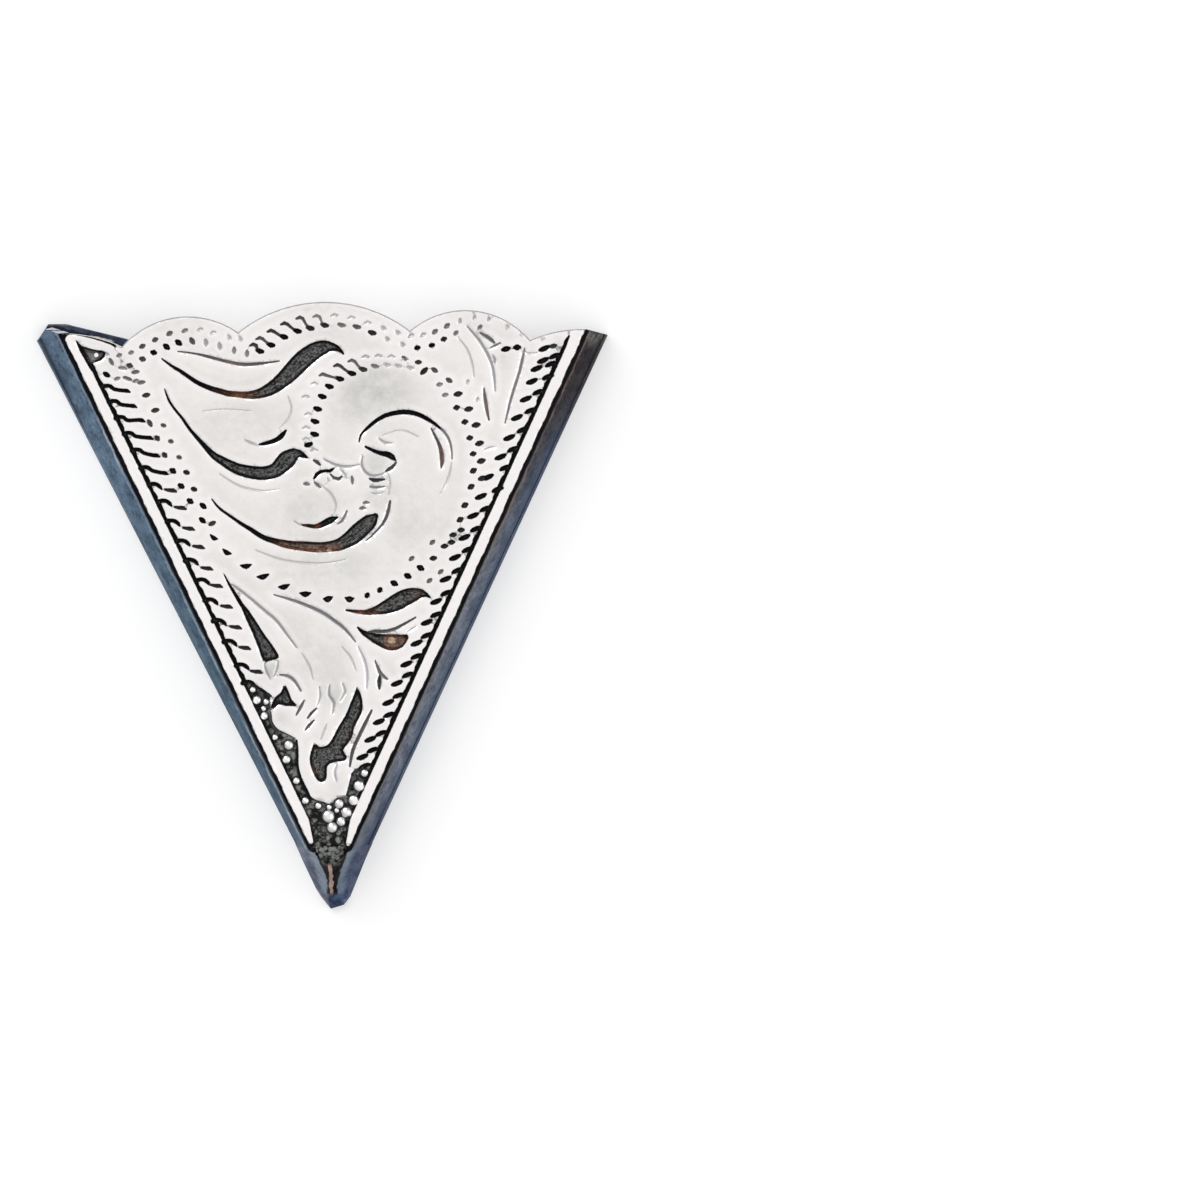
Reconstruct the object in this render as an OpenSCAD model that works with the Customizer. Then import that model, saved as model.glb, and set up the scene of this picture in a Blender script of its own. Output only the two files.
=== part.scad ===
// Engraved metal tip for the point of a shirt collar.
// One folded sheet makes the face, the flared walls and the two back lips, and a set screw grips the cloth.
// Plan sizes are drawn from the face's own point, with Y up the middle line, and centred at the end.

/* [Face] */
// Width of the face at its two top corners
face_w = 32.8; // [31:0.1:35]
// Height from the face's point to the line through the corners
face_h = 35.1; // [34:0.1:37]
// Depth from the back of the lips to the front of the face
depth = 3.4; // [3.2:0.1:5]
// Thickness of the sheet
sheet = 0.7; // [0.5:0.05:0.8]

/* [Scalloped top] */
// Distance of the inner notches from the middle line
inner_notch_x = 5.35; // [5:0.05:6]
// Distance of the left outer notch from the middle line
left_notch_x = 12.6; // [12.3:0.05:13.2]
// How far the left outer notch lies below the corner line
left_notch_drop = 0.85; // [0.5:0.05:1.1]
// Distance of the right outer notch from the middle line
right_notch_x = 12.8; // [12.3:0.05:13.2]
// How far the right outer notch lies below the corner line
right_notch_drop = 0.65; // [0.5:0.05:1.1]
// Height of the middle scallop's arc over its notches
middle_rise = 1.85; // [1.2:0.05:2.5]
// Height of the left scallop's arc over its notches
left_rise = 1.42; // [1:0.01:1.8]
// Height of the right scallop's arc over its notches
right_rise = 1.57; // [1:0.01:1.8]
// Height of the half scallops' arcs that end in the corners
corner_rise = 0.22; // [0.1:0.01:0.4]

/* [Walls] */
// How far the left wall flares out beyond the face's edge at the top
left_flare_top = 1.8; // [1.2:0.01:2]
// How far the left wall flares out beside the face's point
left_flare_tip = 0.84; // [0.7:0.01:1.4]
// How far the right wall flares out beyond the face's edge at the top
right_flare_top = 1.42; // [1.2:0.01:2]
// How far the right wall flares out beside the face's point
right_flare_tip = 1.22; // [1.1:0.01:1.6]
// How far the left wall's end rises from the face to the back
left_end_rise = 0.4; // [0:0.05:0.6]
// How far the right wall's end drops from the face to the back
right_end_drop = 0.6; // [0:0.05:0.9]
// Length nipped off the left wall's back corner, down its edge
nip_down = 1.1; // [0.6:0.05:1.4]
// Length nipped off the same corner along the wall's end
nip_in = 1.3; // [0.6:0.05:1.5]
// Where the blunt back tip ends, measured from the face's point
tip_y = -1.4; // [-1.6:0.05:-1.2]
// Where the flat face ends and the nose starts to fall
nose_y = 2.7; // [2.5:0.05:3]

/* [Back lips] */
// Width of each lip, square to its fold
lip_w = 8.6; // [7:0.1:10]
// Slope of the lips' top ends, down towards the middle
lip_slope = 14; // [6:1:18]
// Length of the level stretch at each lip's outer corner
lip_shoulder = 2.2; // [1:0.1:3]
// Width of the seam where the lips meet
seam_w = 0.2; // [0.15:0.01:0.3]

/* [Set screw] */
// Diameter of the set screw
screw_d = 2; // [1.8:0.1:2.4]
// Length of the set screw
screw_l = 1.7; // [1.5:0.1:2]
// Gap between the screw and its hole, all round
screw_gap = 0.05; // [0.03:0.01:0.1]
// Height of the screw's place above the face's point
screw_y = 22; // [20:0.5:26]

/* [Engraving] */
// Depth of the engraved cuts
cut_depth = 0.2; // [0.1:0.01:0.3]
// Distance between the two lines along each slanted side
border_w = 0.88; // [0.8:0.01:1]
// Width of an edge line
line_w = 0.2; // [0.15:0.01:0.25]

/* [Hidden] */
$fn = 96;
// How far a cut runs past what it cuts, how far joined shapes overlap, and how far one stays inside the other
past = 1;
overlap = 0.3;
tuck = 0.1;

// Lean of the face's edges from the middle line, and of the back's edges under them
face_lean = atan(face_w / 2 / face_h);
edge_l = face_h / cos(face_lean);
function back_lean(top, tip) = face_lean + atan((top - tip) / edge_l);
left_lean = back_lean(left_flare_top, left_flare_tip);
right_lean = back_lean(right_flare_top, right_flare_tip);
left_foot = left_flare_tip / cos(face_lean);
right_foot = right_flare_tip / cos(face_lean);

// The face's edge and the back's edge as x for each y, where side is -1 on the left and 1 on the right
function face_x(side, y) = side * y * tan(face_lean);
function back_x(side, y) =
    side < 0 ? -left_foot - y * tan(left_lean) : right_foot + y * tan(right_lean);

// A wall's outer surface at a height, and its inner surface one sheet behind it
wall_inset = sheet * 1.25;
function outer_x(side, y, z) =
    face_x(side, y) + (back_x(side, y) - face_x(side, y)) * (depth - z) / depth;
function inner_x(side, y, z) = outer_x(side, y, z) - side * wall_inset;

// The back's two top corners
left_corner = [back_x(-1, face_h + left_end_rise), face_h + left_end_rise];
right_corner = [back_x(1, face_h - right_end_drop), face_h - right_end_drop];

// The middle of the piece in plan, which becomes the origin
left_end = back_x(-1, left_corner.y - nip_down);
right_end = right_corner.x;
top_end = face_h + middle_rise;
middle = [(left_end + right_end) / 2, (top_end + tip_y) / 2];

// The line between the lips, from where the back's two edges would meet
back_point_y = -(left_foot + right_foot) / (tan(left_lean) + tan(right_lean));
back_point = [back_x(1, back_point_y), back_point_y];
seam_lean = (left_lean - right_lean) / 2;
half_back = (left_lean + right_lean) / 2;
function seam_x(y) = back_point.x - (y - back_point.y) * tan(seam_lean);
lips_meet_y = back_point.y + lip_w / sin(half_back);

// Points along a smooth curve through rows of x, y and width
function curve_at(a, b, c, d, t) =
    0.5 * (2 * b + (c - a) * t + (2 * a - 5 * b + 4 * c - d) * t * t
    + (3 * b - a - 3 * c + d) * t * t * t);
function curve(rows, steps) = let(last = len(rows) - 1) [
    for (i = [0 : last - 1], k = [0 : steps - 1])
        curve_at(rows[max(i - 1, 0)], rows[i], rows[i + 1], rows[min(i + 2, last)], k / steps),
    rows[last]
];
function heading(rows, i) =
    let(d = rows[min(i + 1, len(rows) - 1)] - rows[max(i - 1, 0)]) [d.x, d.y] / norm([d.x, d.y]);

// The outline of a cut: its middle line, widened to both sides by half its width
function cut_outline(rows, steps) = let(line = curve(rows, steps), n = len(line)) concat(
    [for (i = [0 : n - 1]) let(h = heading(line, i))
        [line[i].x - h.y * line[i][2] / 2, line[i].y + h.x * line[i][2] / 2]],
    [for (i = [n - 1 : -1 : 0]) let(h = heading(line, i))
        [line[i].x + h.y * line[i][2] / 2, line[i].y - h.x * line[i][2] / 2]]
);

// The main cuts of the scrollwork, as rows of x, y and width along each cut
leaf_cuts = [
    // The top leaf and the line over it
    [[-10.1, 33.5, 0.06], [-8.5, 32.4, 0.22], [-6.5, 31.45, 0.32], [-4.5, 31.2, 0.5],
     [-3.0, 31.8, 0.85], [-1.9, 32.8, 1.1], [-0.9, 33.7, 1.1], [0.1, 34.15, 0.8],
     [0.9, 34.0, 0.3], [1.2, 33.7, 0.08]],
    [[-9.1, 33.95, 0.05], [-7.0, 33.55, 0.16], [-5.0, 33.1, 0.2], [-3.0, 33.25, 0.06]],
    // The middle leaf
    [[-9.95, 31.6, 0.06], [-8.9, 29.8, 0.14], [-7.7, 28.25, 0.25], [-6.5, 27.15, 0.5],
     [-5.0, 26.45, 0.75], [-3.5, 26.35, 0.85], [-2.5, 27.0, 1.1], [-1.9, 27.5, 0.6],
     [-1.1, 27.25, 0.06]],
    [[-4.1, 28.1, 0.1], [-3.4, 28.25, 0.25], [-2.45, 28.95, 0.1]],
    // The lower leaf
    [[-7.1, 24.7, 0.06], [-5.7, 23.45, 0.16], [-4.2, 22.45, 0.28], [-2.2, 21.8, 0.5],
     [-0.2, 21.65, 0.62], [1.2, 22.0, 0.85], [2.0, 22.6, 1.05], [2.8, 23.3, 0.85],
     [3.05, 23.55, 0.4]],
    [[-1.5, 23.05, 0.08], [-0.3, 23.05, 0.35], [0.7, 23.5, 0.1]]
];
scroll_cuts = [
    // The line round the inside of the scroll, and the wedge and the bud's edge in its eye
    [[2.1, 28.2, 0.06], [2.9, 29.3, 0.2], [4.4, 30.0, 0.27], [6.1, 29.75, 0.25],
     [7.4, 28.8, 0.12], [7.85, 27.8, 0.06]],
    [[2.5, 27.9, 0.12], [3.4, 27.5, 0.25], [3.95, 27.35, 0.38], [4.35, 27.05, 0.1]],
    [[7.0, 28.3, 0.06], [7.25, 27.3, 0.22], [7.2, 26.6, 0.06]]
];
plume_cuts = [
    // The long wedge on the left and the barb under it
    [[-6.45, 20.0, 0.05], [-5.5, 18.4, 0.3], [-4.75, 17.2, 0.55], [-4.0, 15.7, 0.95],
     [-3.5, 14.7, 1.0]],
    [[-2.65, 13.0, 0.15], [-2.75, 12.4, 0.7], [-2.8, 11.8, 1.2]],
    // The dark body down the middle
    [[1.85, 12.8, 0.15], [1.75, 11.7, 0.7], [1.15, 10.4, 1.0], [0.45, 9.2, 1.1],
     [-0.4, 8.4, 1.2], [-0.55, 7.0, 0.5]],
    // The two leaves on the right
    [[1.2, 17.7, 0.1], [2.4, 17.55, 0.3], [3.5, 17.8, 0.75], [4.5, 18.25, 1.05],
     [5.5, 18.65, 0.8], [6.4, 18.45, 0.1]],
    [[1.9, 16.6, 0.1], [2.6, 16.1, 0.45], [3.5, 15.75, 0.85], [4.0, 15.65, 1.0],
     [4.85, 15.95, 0.4]]
];
cut_steps = 3;

// A straight loft through rows of four corners, front left, front right, back right and back left
// Its last row may be out of flat, so the far end is two triangles
module loft(rows) {
    n = len(rows);
    points = [for (row = rows, p = row) p];
    sides = [for (i = [0 : n - 2], k = [0 : 3]) let(a = 4 * i + k, b = 4 * i + (k + 1) % 4)
        [[a, b + 4, b], [a, a + 4, b + 4]]];
    polyhedron(points, concat(
        [[0, 1, 2, 3]],
        [for (pair = sides, face = pair) face],
        [for (half = [[3, 2, 1], [3, 1, 0]]) [for (k = half) 4 * (n - 1) + k]]
    ));
}
strips = 12;
function steps_between(y0, y1) = [for (i = [0 : strips]) y0 + (y1 - y0) * i / strips];

// The outside of the folded box, from the nose to the top end
module box_outside() {
    level = [for (y = steps_between(nose_y, face_h)) [
        [outer_x(-1, y, depth), y, depth],
        [outer_x(1, y, depth), y, depth],
        [back_x(1, y), y, 0],
        [back_x(-1, y), y, 0]
    ]];
    top_row = [
        level[strips][0],
        level[strips][1],
        [right_corner.x, right_corner.y, 0],
        [left_corner.x, left_corner.y, 0]
    ];
    loft([for (i = [0 : strips]) i < strips ? level[i] : top_row]);
}

// The hollow between the walls, open at the top end and towards the face
pocket_y = 3.2;
module pocket() {
    loft([for (y = steps_between(pocket_y, face_h + past)) [
        [inner_x(-1, y, depth + past), y, depth + past],
        [inner_x(1, y, depth + past), y, depth + past],
        [inner_x(1, y, sheet), y, sheet],
        [inner_x(-1, y, sheet), y, sheet]
    ]]);
}

// The solid nose that closes the point: a low ridge that falls from the face to the blunt back tip
// The left cheek is fuller than the right one, so its back edge runs on down to cheek_y
ridge_y = 1.65;
ridge_end = [0.05, -0.35, 1.5];
cheek_y = -0.6;
module nose() {
    hull() {
        polyhedron(
            [
                [face_x(-1, nose_y), nose_y, depth],
                [face_x(1, nose_y), nose_y, depth],
                [back_x(1, nose_y), nose_y, 0],
                [back_x(-1, nose_y), nose_y, 0],
                [0, ridge_y, depth - 0.1],
                ridge_end,
                [back_x(1, tip_y), tip_y + 0.2, 0.5],
                [back_x(1, tip_y), tip_y + 0.2, 0],
                [seam_x(tip_y), tip_y, 0.5],
                [seam_x(tip_y), tip_y, 0],
                [back_x(-1, cheek_y), cheek_y, 0]
            ],
            [[0, 1, 2, 3], [0, 4, 1], [1, 4, 5], [0, 5, 4], [1, 5, 6], [1, 6, 7, 2],
             [0, 10, 5], [0, 3, 10], [5, 8, 6], [6, 8, 9, 7], [5, 10, 8], [8, 10, 9],
             [2, 7, 9, 10, 3]]
        );
    }
}

// A piece of a round disc that stands on the chord from p to q, rises over it and runs on below it
cap_root = 1.5;
module arc_cap(p, q, rise) {
    chord = norm(q - p);
    r = (chord * chord / 4 + rise * rise) / (2 * rise);
    translate((p + q) / 2)
        rotate(atan2(q.y - p.y, q.x - p.x))
            intersection() {
                translate([0, rise - r]) circle(r);
                translate([-chord / 2 - overlap, -cap_root])
                    square([chord + 2 * overlap, cap_root + rise + overlap]);
            }
}
corner = [face_x(1, face_h), face_h];
inner_notch = [inner_notch_x, face_h];
// The right outer notch and the left one, mirrored, and the arcs' heights beside them
outer_notches = [
    [right_notch_x, face_h - right_notch_drop],
    [left_notch_x, face_h - left_notch_drop]
];
side_rises = [right_rise, left_rise];
function flip(p) = [-p.x, p.y];
module face_outline() {
    clear_y = top_end + past;
    ends = [[-1, nose_y + tuck], [1, nose_y + tuck], [1, clear_y], [-1, clear_y]];
    intersection() {
        polygon([for (e = ends) [face_x(e[0], e[1]) - e[0] * tuck, e[1]]]);
        union() {
            translate([-face_w / 2, nose_y])
                square([face_w, outer_notches[1].y - overlap - nose_y]);
            arc_cap(flip(inner_notch), inner_notch, middle_rise);
            for (side = [0, 1])
                mirror([side, 0]) {
                    arc_cap(inner_notch, outer_notches[side], side_rises[side]);
                    arc_cap(outer_notches[side], corner, corner_rise);
                }
        }
    }
}
module face_plate() {
    translate([0, 0, depth - sheet]) linear_extrude(sheet) face_outline();
}

// The line beside each slanted side, inside the polished border
module border_lines() {
    start = nose_y / cos(face_lean);
    for (side = [-1, 1])
        rotate(-side * face_lean)
            translate([-side * border_w - line_w / 2, start, depth - cut_depth])
                cube([line_w, edge_l - start - 1.2, past]);
}
module engraving() {
    border_lines();
    translate([0, 0, depth - cut_depth])
        linear_extrude(past)
            for (rows = concat(leaf_cuts, scroll_cuts, plume_cuts))
                polygon(cut_outline(rows, cut_steps));
}

// The ends of the lips: a level shoulder, then the slope down to the lip's inner edge
function lip_run(lean) = (lip_w - lip_shoulder * cos(lean)) / (cos(lean) - tan(lip_slope) * sin(lean));
left_run = lip_run(left_lean);
right_run = lip_run(right_lean);
left_shoulder = left_corner + [lip_shoulder, 0];
right_shoulder = right_corner - [lip_shoulder, 0];
left_lip_end = left_shoulder + left_run * [1, -tan(lip_slope)];
right_lip_end = right_shoulder + right_run * [-1, -tan(lip_slope)];

// What is left open between the two lips and above their ends
module back_opening() {
    above = [0, past + overlap];
    translate([0, 0, -past])
        linear_extrude(sheet + past)
            polygon([
                [seam_x(lips_meet_y), lips_meet_y],
                right_lip_end, right_shoulder, right_shoulder + above,
                left_shoulder + above, left_shoulder, left_lip_end
            ]);
}
module seam() {
    start_y = pocket_y + tuck;
    translate([seam_x(start_y), start_y, -past])
        rotate(seam_lean)
            translate([-seam_w / 2, 0])
                cube([seam_w, lips_meet_y - start_y + past, sheet + past]);
}
module nipped_corner() {
    low = [back_x(-1, left_corner.y - nip_down), left_corner.y - nip_down];
    high = left_corner + [nip_in, 0];
    out = 3 * (low - high);
    translate([0, 0, -past])
        linear_extrude(depth + 2 * past)
            polygon([low + out, low, high, high - out, left_corner + 3 * past * [-1, 1]]);
}

// The set screw stands in the middle of the right lip
screw_at = [back_x(1, screw_y) - lip_w / 2 / cos(right_lean), screw_y];
module screw_hole() {
    translate([screw_at.x, screw_at.y, -past]) cylinder(d = screw_d + 2 * screw_gap, h = sheet + 2 * past);
}

module centred() {
    translate([-middle.x, -middle.y]) children();
}
module shell() {
    color("silver")
        centred()
            difference() {
                union() {
                    difference() {
                        box_outside();
                        pocket();
                    }
                    nose();
                    face_plate();
                }
                back_opening();
                seam();
                nipped_corner();
                screw_hole();
                engraving();
            }
}
module set_screw() {
    color("dimgray")
        centred()
            translate([screw_at.x, screw_at.y, 0.1])
                difference() {
                    cylinder(d = screw_d, h = screw_l);
                    translate([-screw_d, -0.2, -past]) cube([2 * screw_d, 0.4, past + 0.5]);
                }
}

shell();
set_screw();
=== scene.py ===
"""Looks for an engraved metal collar tip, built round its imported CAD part.

Plan places are in millimetres from the point of the face, with Y up the middle line, as the engraver
would mark them out. at() turns them into the part's own frame in metres.
"""

import math
from types import SimpleNamespace

import bpy
import numpy as np
from mathutils import Euler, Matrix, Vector, kdtree
from mathutils.geometry import delaunay_2d_cdt


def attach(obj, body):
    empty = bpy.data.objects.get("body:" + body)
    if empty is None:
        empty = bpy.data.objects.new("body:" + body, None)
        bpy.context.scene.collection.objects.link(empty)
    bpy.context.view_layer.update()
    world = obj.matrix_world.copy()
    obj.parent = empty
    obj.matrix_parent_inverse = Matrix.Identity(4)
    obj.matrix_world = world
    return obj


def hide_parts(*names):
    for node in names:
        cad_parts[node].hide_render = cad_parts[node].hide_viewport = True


bl_info = {
    "name": "Engraved Collar Tip",
    "version": (1, 0, 0),
    "blender": (4, 5, 0),
    "location": "3D View > Sidebar > Collar Tip",
    "description": "Engraves, folds and finishes a metal tip for the point of a shirt collar",
    "category": "Object",
}

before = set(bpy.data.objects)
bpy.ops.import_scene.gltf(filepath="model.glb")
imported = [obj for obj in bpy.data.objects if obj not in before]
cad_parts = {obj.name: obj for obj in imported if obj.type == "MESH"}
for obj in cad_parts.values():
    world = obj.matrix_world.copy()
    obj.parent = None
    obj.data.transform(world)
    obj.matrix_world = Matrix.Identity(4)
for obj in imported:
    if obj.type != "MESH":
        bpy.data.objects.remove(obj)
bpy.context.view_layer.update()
MM = 0.001
# Places nearer than this, in metres, count as the same
CLOSE = 0.00001
# A distance in plan millimetres that means far from every cut
FAR = 9.0
# A cut with less ink than this is only a faint line: it neither brightens the silver beside it nor shapes a leaf
FAINT = 0.3
# How far apart the points stand round the dark bodies and round the ground, in plan millimetres
PATCH_STEP, GROUND_STEP = 0.15, 0.2

# The engraving as drawn on the face. A cut is (ink, rows of x, y, width): ink is how black the cut is.
LEAF_CUTS = [
    # The top leaf's dark belly, and the line over it
    (1.0, [(-10.1, 33.5, 0.06), (-9.5, 33.05, 0.15), (-9.0, 32.75, 0.2), (-8.5, 32.4, 0.22), (-8.0, 32.05, 0.25),
           (-7.5, 31.8, 0.27), (-7.0, 31.6, 0.3), (-6.5, 31.45, 0.32), (-6.0, 31.3, 0.35), (-5.5, 31.25, 0.35),
           (-5.0, 31.2, 0.4), (-4.5, 31.2, 0.5), (-4.0, 31.3, 0.6), (-3.5, 31.5, 0.75), (-3.0, 31.8, 0.85),
           (-2.4, 32.3, 1.0), (-1.9, 32.8, 1.1), (-1.4, 33.3, 1.15), (-0.9, 33.7, 1.1), (-0.4, 34.0, 1.0),
           (0.1, 34.15, 0.8), (0.5, 34.15, 0.5), (0.9, 34.0, 0.3), (1.2, 33.7, 0.08)]),
    (0.8, [(-9.1, 33.95, 0.05), (-8.0, 33.8, 0.1), (-7.0, 33.55, 0.16), (-6.0, 33.28, 0.18), (-5.0, 33.1, 0.2),
           (-4.0, 33.15, 0.16), (-3.5, 33.2, 0.12), (-2.8, 33.3, 0.05)]),
    # The middle leaf, with the small stroke in its lobe
    (1.0, [(-9.95, 31.6, 0.06), (-9.7, 30.9, 0.12), (-9.3, 30.3, 0.13), (-8.9, 29.8, 0.14), (-8.5, 29.2, 0.17),
           (-8.1, 28.7, 0.2), (-7.7, 28.25, 0.25), (-7.3, 27.8, 0.32), (-6.9, 27.4, 0.42), (-6.5, 27.15, 0.5),
           (-6.0, 26.85, 0.6), (-5.5, 26.6, 0.68), (-5.0, 26.45, 0.75), (-4.5, 26.35, 0.8), (-4.0, 26.3, 0.82),
           (-3.5, 26.35, 0.85), (-3.1, 26.5, 0.9), (-2.8, 26.75, 1.0), (-2.5, 27.05, 1.1), (-2.2, 27.3, 1.0),
           (-1.9, 27.5, 0.7), (-1.6, 27.5, 0.45), (-1.3, 27.35, 0.25), (-1.1, 27.25, 0.06)]),
    (1.0, [(-4.1, 28.1, 0.1), (-3.8, 28.15, 0.2), (-3.4, 28.25, 0.25), (-3.0, 28.4, 0.28), (-2.7, 28.65, 0.3),
           (-2.45, 28.95, 0.12)]),
    (0.3, [(-5.0, 28.4, 0.1), (-4.6, 28.2, 0.16), (-4.2, 28.05, 0.1)]),
    # The lower leaf, with its small stroke
    (1.0, [(-7.1, 24.7, 0.06), (-6.7, 24.2, 0.12), (-6.2, 23.8, 0.14), (-5.7, 23.45, 0.16), (-5.2, 23.1, 0.2),
           (-4.7, 22.8, 0.25), (-4.2, 22.45, 0.28), (-3.7, 22.2, 0.3), (-3.2, 22.05, 0.35), (-2.7, 21.9, 0.45),
           (-2.2, 21.8, 0.5), (-1.7, 21.75, 0.55), (-1.2, 21.7, 0.6), (-0.7, 21.65, 0.62), (-0.2, 21.65, 0.62),
           (0.3, 21.7, 0.65), (0.8, 21.8, 0.75), (1.2, 22.0, 0.85), (1.6, 22.25, 1.0), (2.0, 22.6, 1.05),
           (2.4, 22.95, 1.0), (2.8, 23.3, 0.85), (3.05, 23.55, 0.4)]),
    (1.0, [(-1.5, 23.05, 0.1), (-1.1, 23.0, 0.2), (-0.7, 22.95, 0.25), (-0.3, 23.05, 0.35), (0.1, 23.25, 0.4),
           (0.4, 23.4, 0.35), (0.7, 23.5, 0.1)]),
    (0.6, [(0.7, 23.1, 0.06), (1.0, 23.3, 0.16), (1.3, 23.9, 0.08)]),
    (0.3, [(-2.0, 23.3, 0.06), (-1.7, 23.1, 0.1), (-1.5, 23.05, 0.08)]),
    (0.75, [(4.0, 24.5, 0.1), (3.9, 24.0, 0.18), (3.75, 23.5, 0.18), (3.5, 23.05, 0.15), (3.2, 22.7, 0.12),
            (2.8, 22.3, 0.1), (2.5, 22.05, 0.06)]),
    # Grey lines where the leaves turn over, below their dark bellies
    (0.22, [(-6.6, 26.3, 0.06), (-5.4, 25.55, 0.14), (-4.0, 25.2, 0.14), (-2.9, 25.3, 0.06)]),
    (0.22, [(-4.4, 21.5, 0.06), (-2.6, 20.85, 0.14), (-0.4, 20.62, 0.16), (1.2, 20.85, 0.06)]),
    (0.2, [(-7.6, 30.2, 0.06), (-6.2, 30.3, 0.12), (-4.6, 30.2, 0.06)]),
    (0.25, [(-2.3, 31.1, 0.06), (-2.1, 30.4, 0.14), (-2.3, 29.7, 0.14), (-2.9, 29.0, 0.06)]),
    (0.22, [(-0.4, 25.6, 0.06), (0.3, 25.0, 0.14), (0.6, 24.3, 0.16), (0.5, 23.8, 0.06)]),
]
SCROLL_CUTS = [
    # The turn of the scroll
    (1.0, [(2.1, 28.2, 0.06), (2.2, 28.6, 0.1), (2.5, 28.95, 0.15), (2.9, 29.3, 0.2), (3.3, 29.6, 0.22),
           (3.8, 29.85, 0.25), (4.4, 30.0, 0.27), (5.0, 30.05, 0.28), (5.6, 29.95, 0.27), (6.1, 29.75, 0.25),
           (6.6, 29.45, 0.2), (7.0, 29.15, 0.15), (7.4, 28.8, 0.1)]),
    (0.6, [(7.2, 29.0, 0.12), (7.4, 28.8, 0.14), (7.7, 28.3, 0.14), (7.85, 27.7, 0.1), (7.88, 27.1, 0.06)]),
    (0.3, [(7.85, 26.9, 0.06), (7.75, 26.3, 0.14), (7.5, 25.6, 0.14), (7.1, 24.9, 0.06)]),
    (0.85, [(6.6, 29.0, 0.06), (6.8, 28.6, 0.12), (7.05, 28.1, 0.16), (7.2, 27.6, 0.24), (7.25, 27.2, 0.26),
            (7.25, 26.85, 0.22), (7.2, 26.55, 0.08)]),
    (0.2, [(3.6, 28.6, 0.06), (4.8, 28.9, 0.12), (5.8, 28.5, 0.06)]),
    # Its eye, a bud with a wedge over it and hatching under it
    (1.0, [(2.5, 27.9, 0.12), (2.9, 27.7, 0.18), (3.4, 27.5, 0.25), (3.9, 27.4, 0.35), (4.2, 27.2, 0.3),
           (4.35, 27.05, 0.1)]),
    (0.85, [(3.75, 26.35, 0.1), (3.95, 26.48, 0.22), (4.15, 26.6, 0.22), (4.4, 26.9, 0.08)]),
    (0.45, [(2.3, 27.3, 0.06), (2.25, 26.8, 0.12), (2.45, 26.35, 0.14), (2.9, 26.08, 0.14), (3.5, 26.15, 0.12),
            (3.8, 26.4, 0.06)]),
    (0.9, [(2.75, 25.9, 0.12), (3.0, 25.8, 0.22), (3.35, 25.82, 0.18), (3.65, 25.85, 0.1)]),
    (0.55, [(2.75, 25.4, 0.08), (3.2, 25.34, 0.14), (3.65, 25.4, 0.08)]),
    (0.3, [(2.8, 25.0, 0.06), (3.2, 24.95, 0.12), (3.6, 25.0, 0.06)]),
    (0.35, [(3.35, 28.4, 0.06), (3.7, 28.15, 0.16), (4.15, 28.1, 0.08)]),
    (0.45, [(-0.1, 27.15, 0.06), (0.6, 26.8, 0.14), (1.4, 26.65, 0.16), (2.1, 26.78, 0.06)]),
    (0.25, [(3.9, 24.9, 0.06), (4.0, 25.6, 0.12), (3.9, 26.2, 0.06)]),
    # Tool marks round the heart of the scroll
    (1.0, [(-0.72, 25.95, 0.12), (-0.55, 26.2, 0.22), (-0.3, 26.38, 0.2), (0.0, 26.42, 0.16), (0.25, 26.4, 0.2),
           (0.5, 26.55, 0.1)]),
    (0.8, [(0.3, 26.2, 0.08), (0.5, 25.98, 0.16), (0.8, 25.9, 0.2), (1.0, 26.05, 0.1)]),
    (0.85, [(-0.72, 27.08, 0.12), (-0.52, 26.97, 0.22), (-0.35, 26.8, 0.12)]),
    (0.6, [(1.62, 26.05, 0.1), (1.65, 25.85, 0.2), (1.66, 25.6, 0.1)]),
    (0.6, [(-1.35, 25.62, 0.12), (-1.2, 25.62, 0.24), (-1.05, 25.58, 0.12)]),
    (0.65, [(-0.7, 25.7, 0.08), (-0.52, 25.55, 0.2), (-0.35, 25.4, 0.1)]),
    (0.6, [(2.35, 24.4, 0.12), (2.5, 24.42, 0.22), (2.65, 24.4, 0.12)]),
    (0.6, [(2.12, 24.05, 0.12), (2.28, 24.08, 0.22), (2.42, 24.05, 0.12)]),
    (0.35, [(0.95, 26.45, 0.06), (1.2, 26.2, 0.14), (1.3, 25.95, 0.06)]),
    (0.3, [(-0.05, 25.5, 0.06), (0.2, 25.75, 0.14), (0.1, 26.0, 0.06)]),
]
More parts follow.
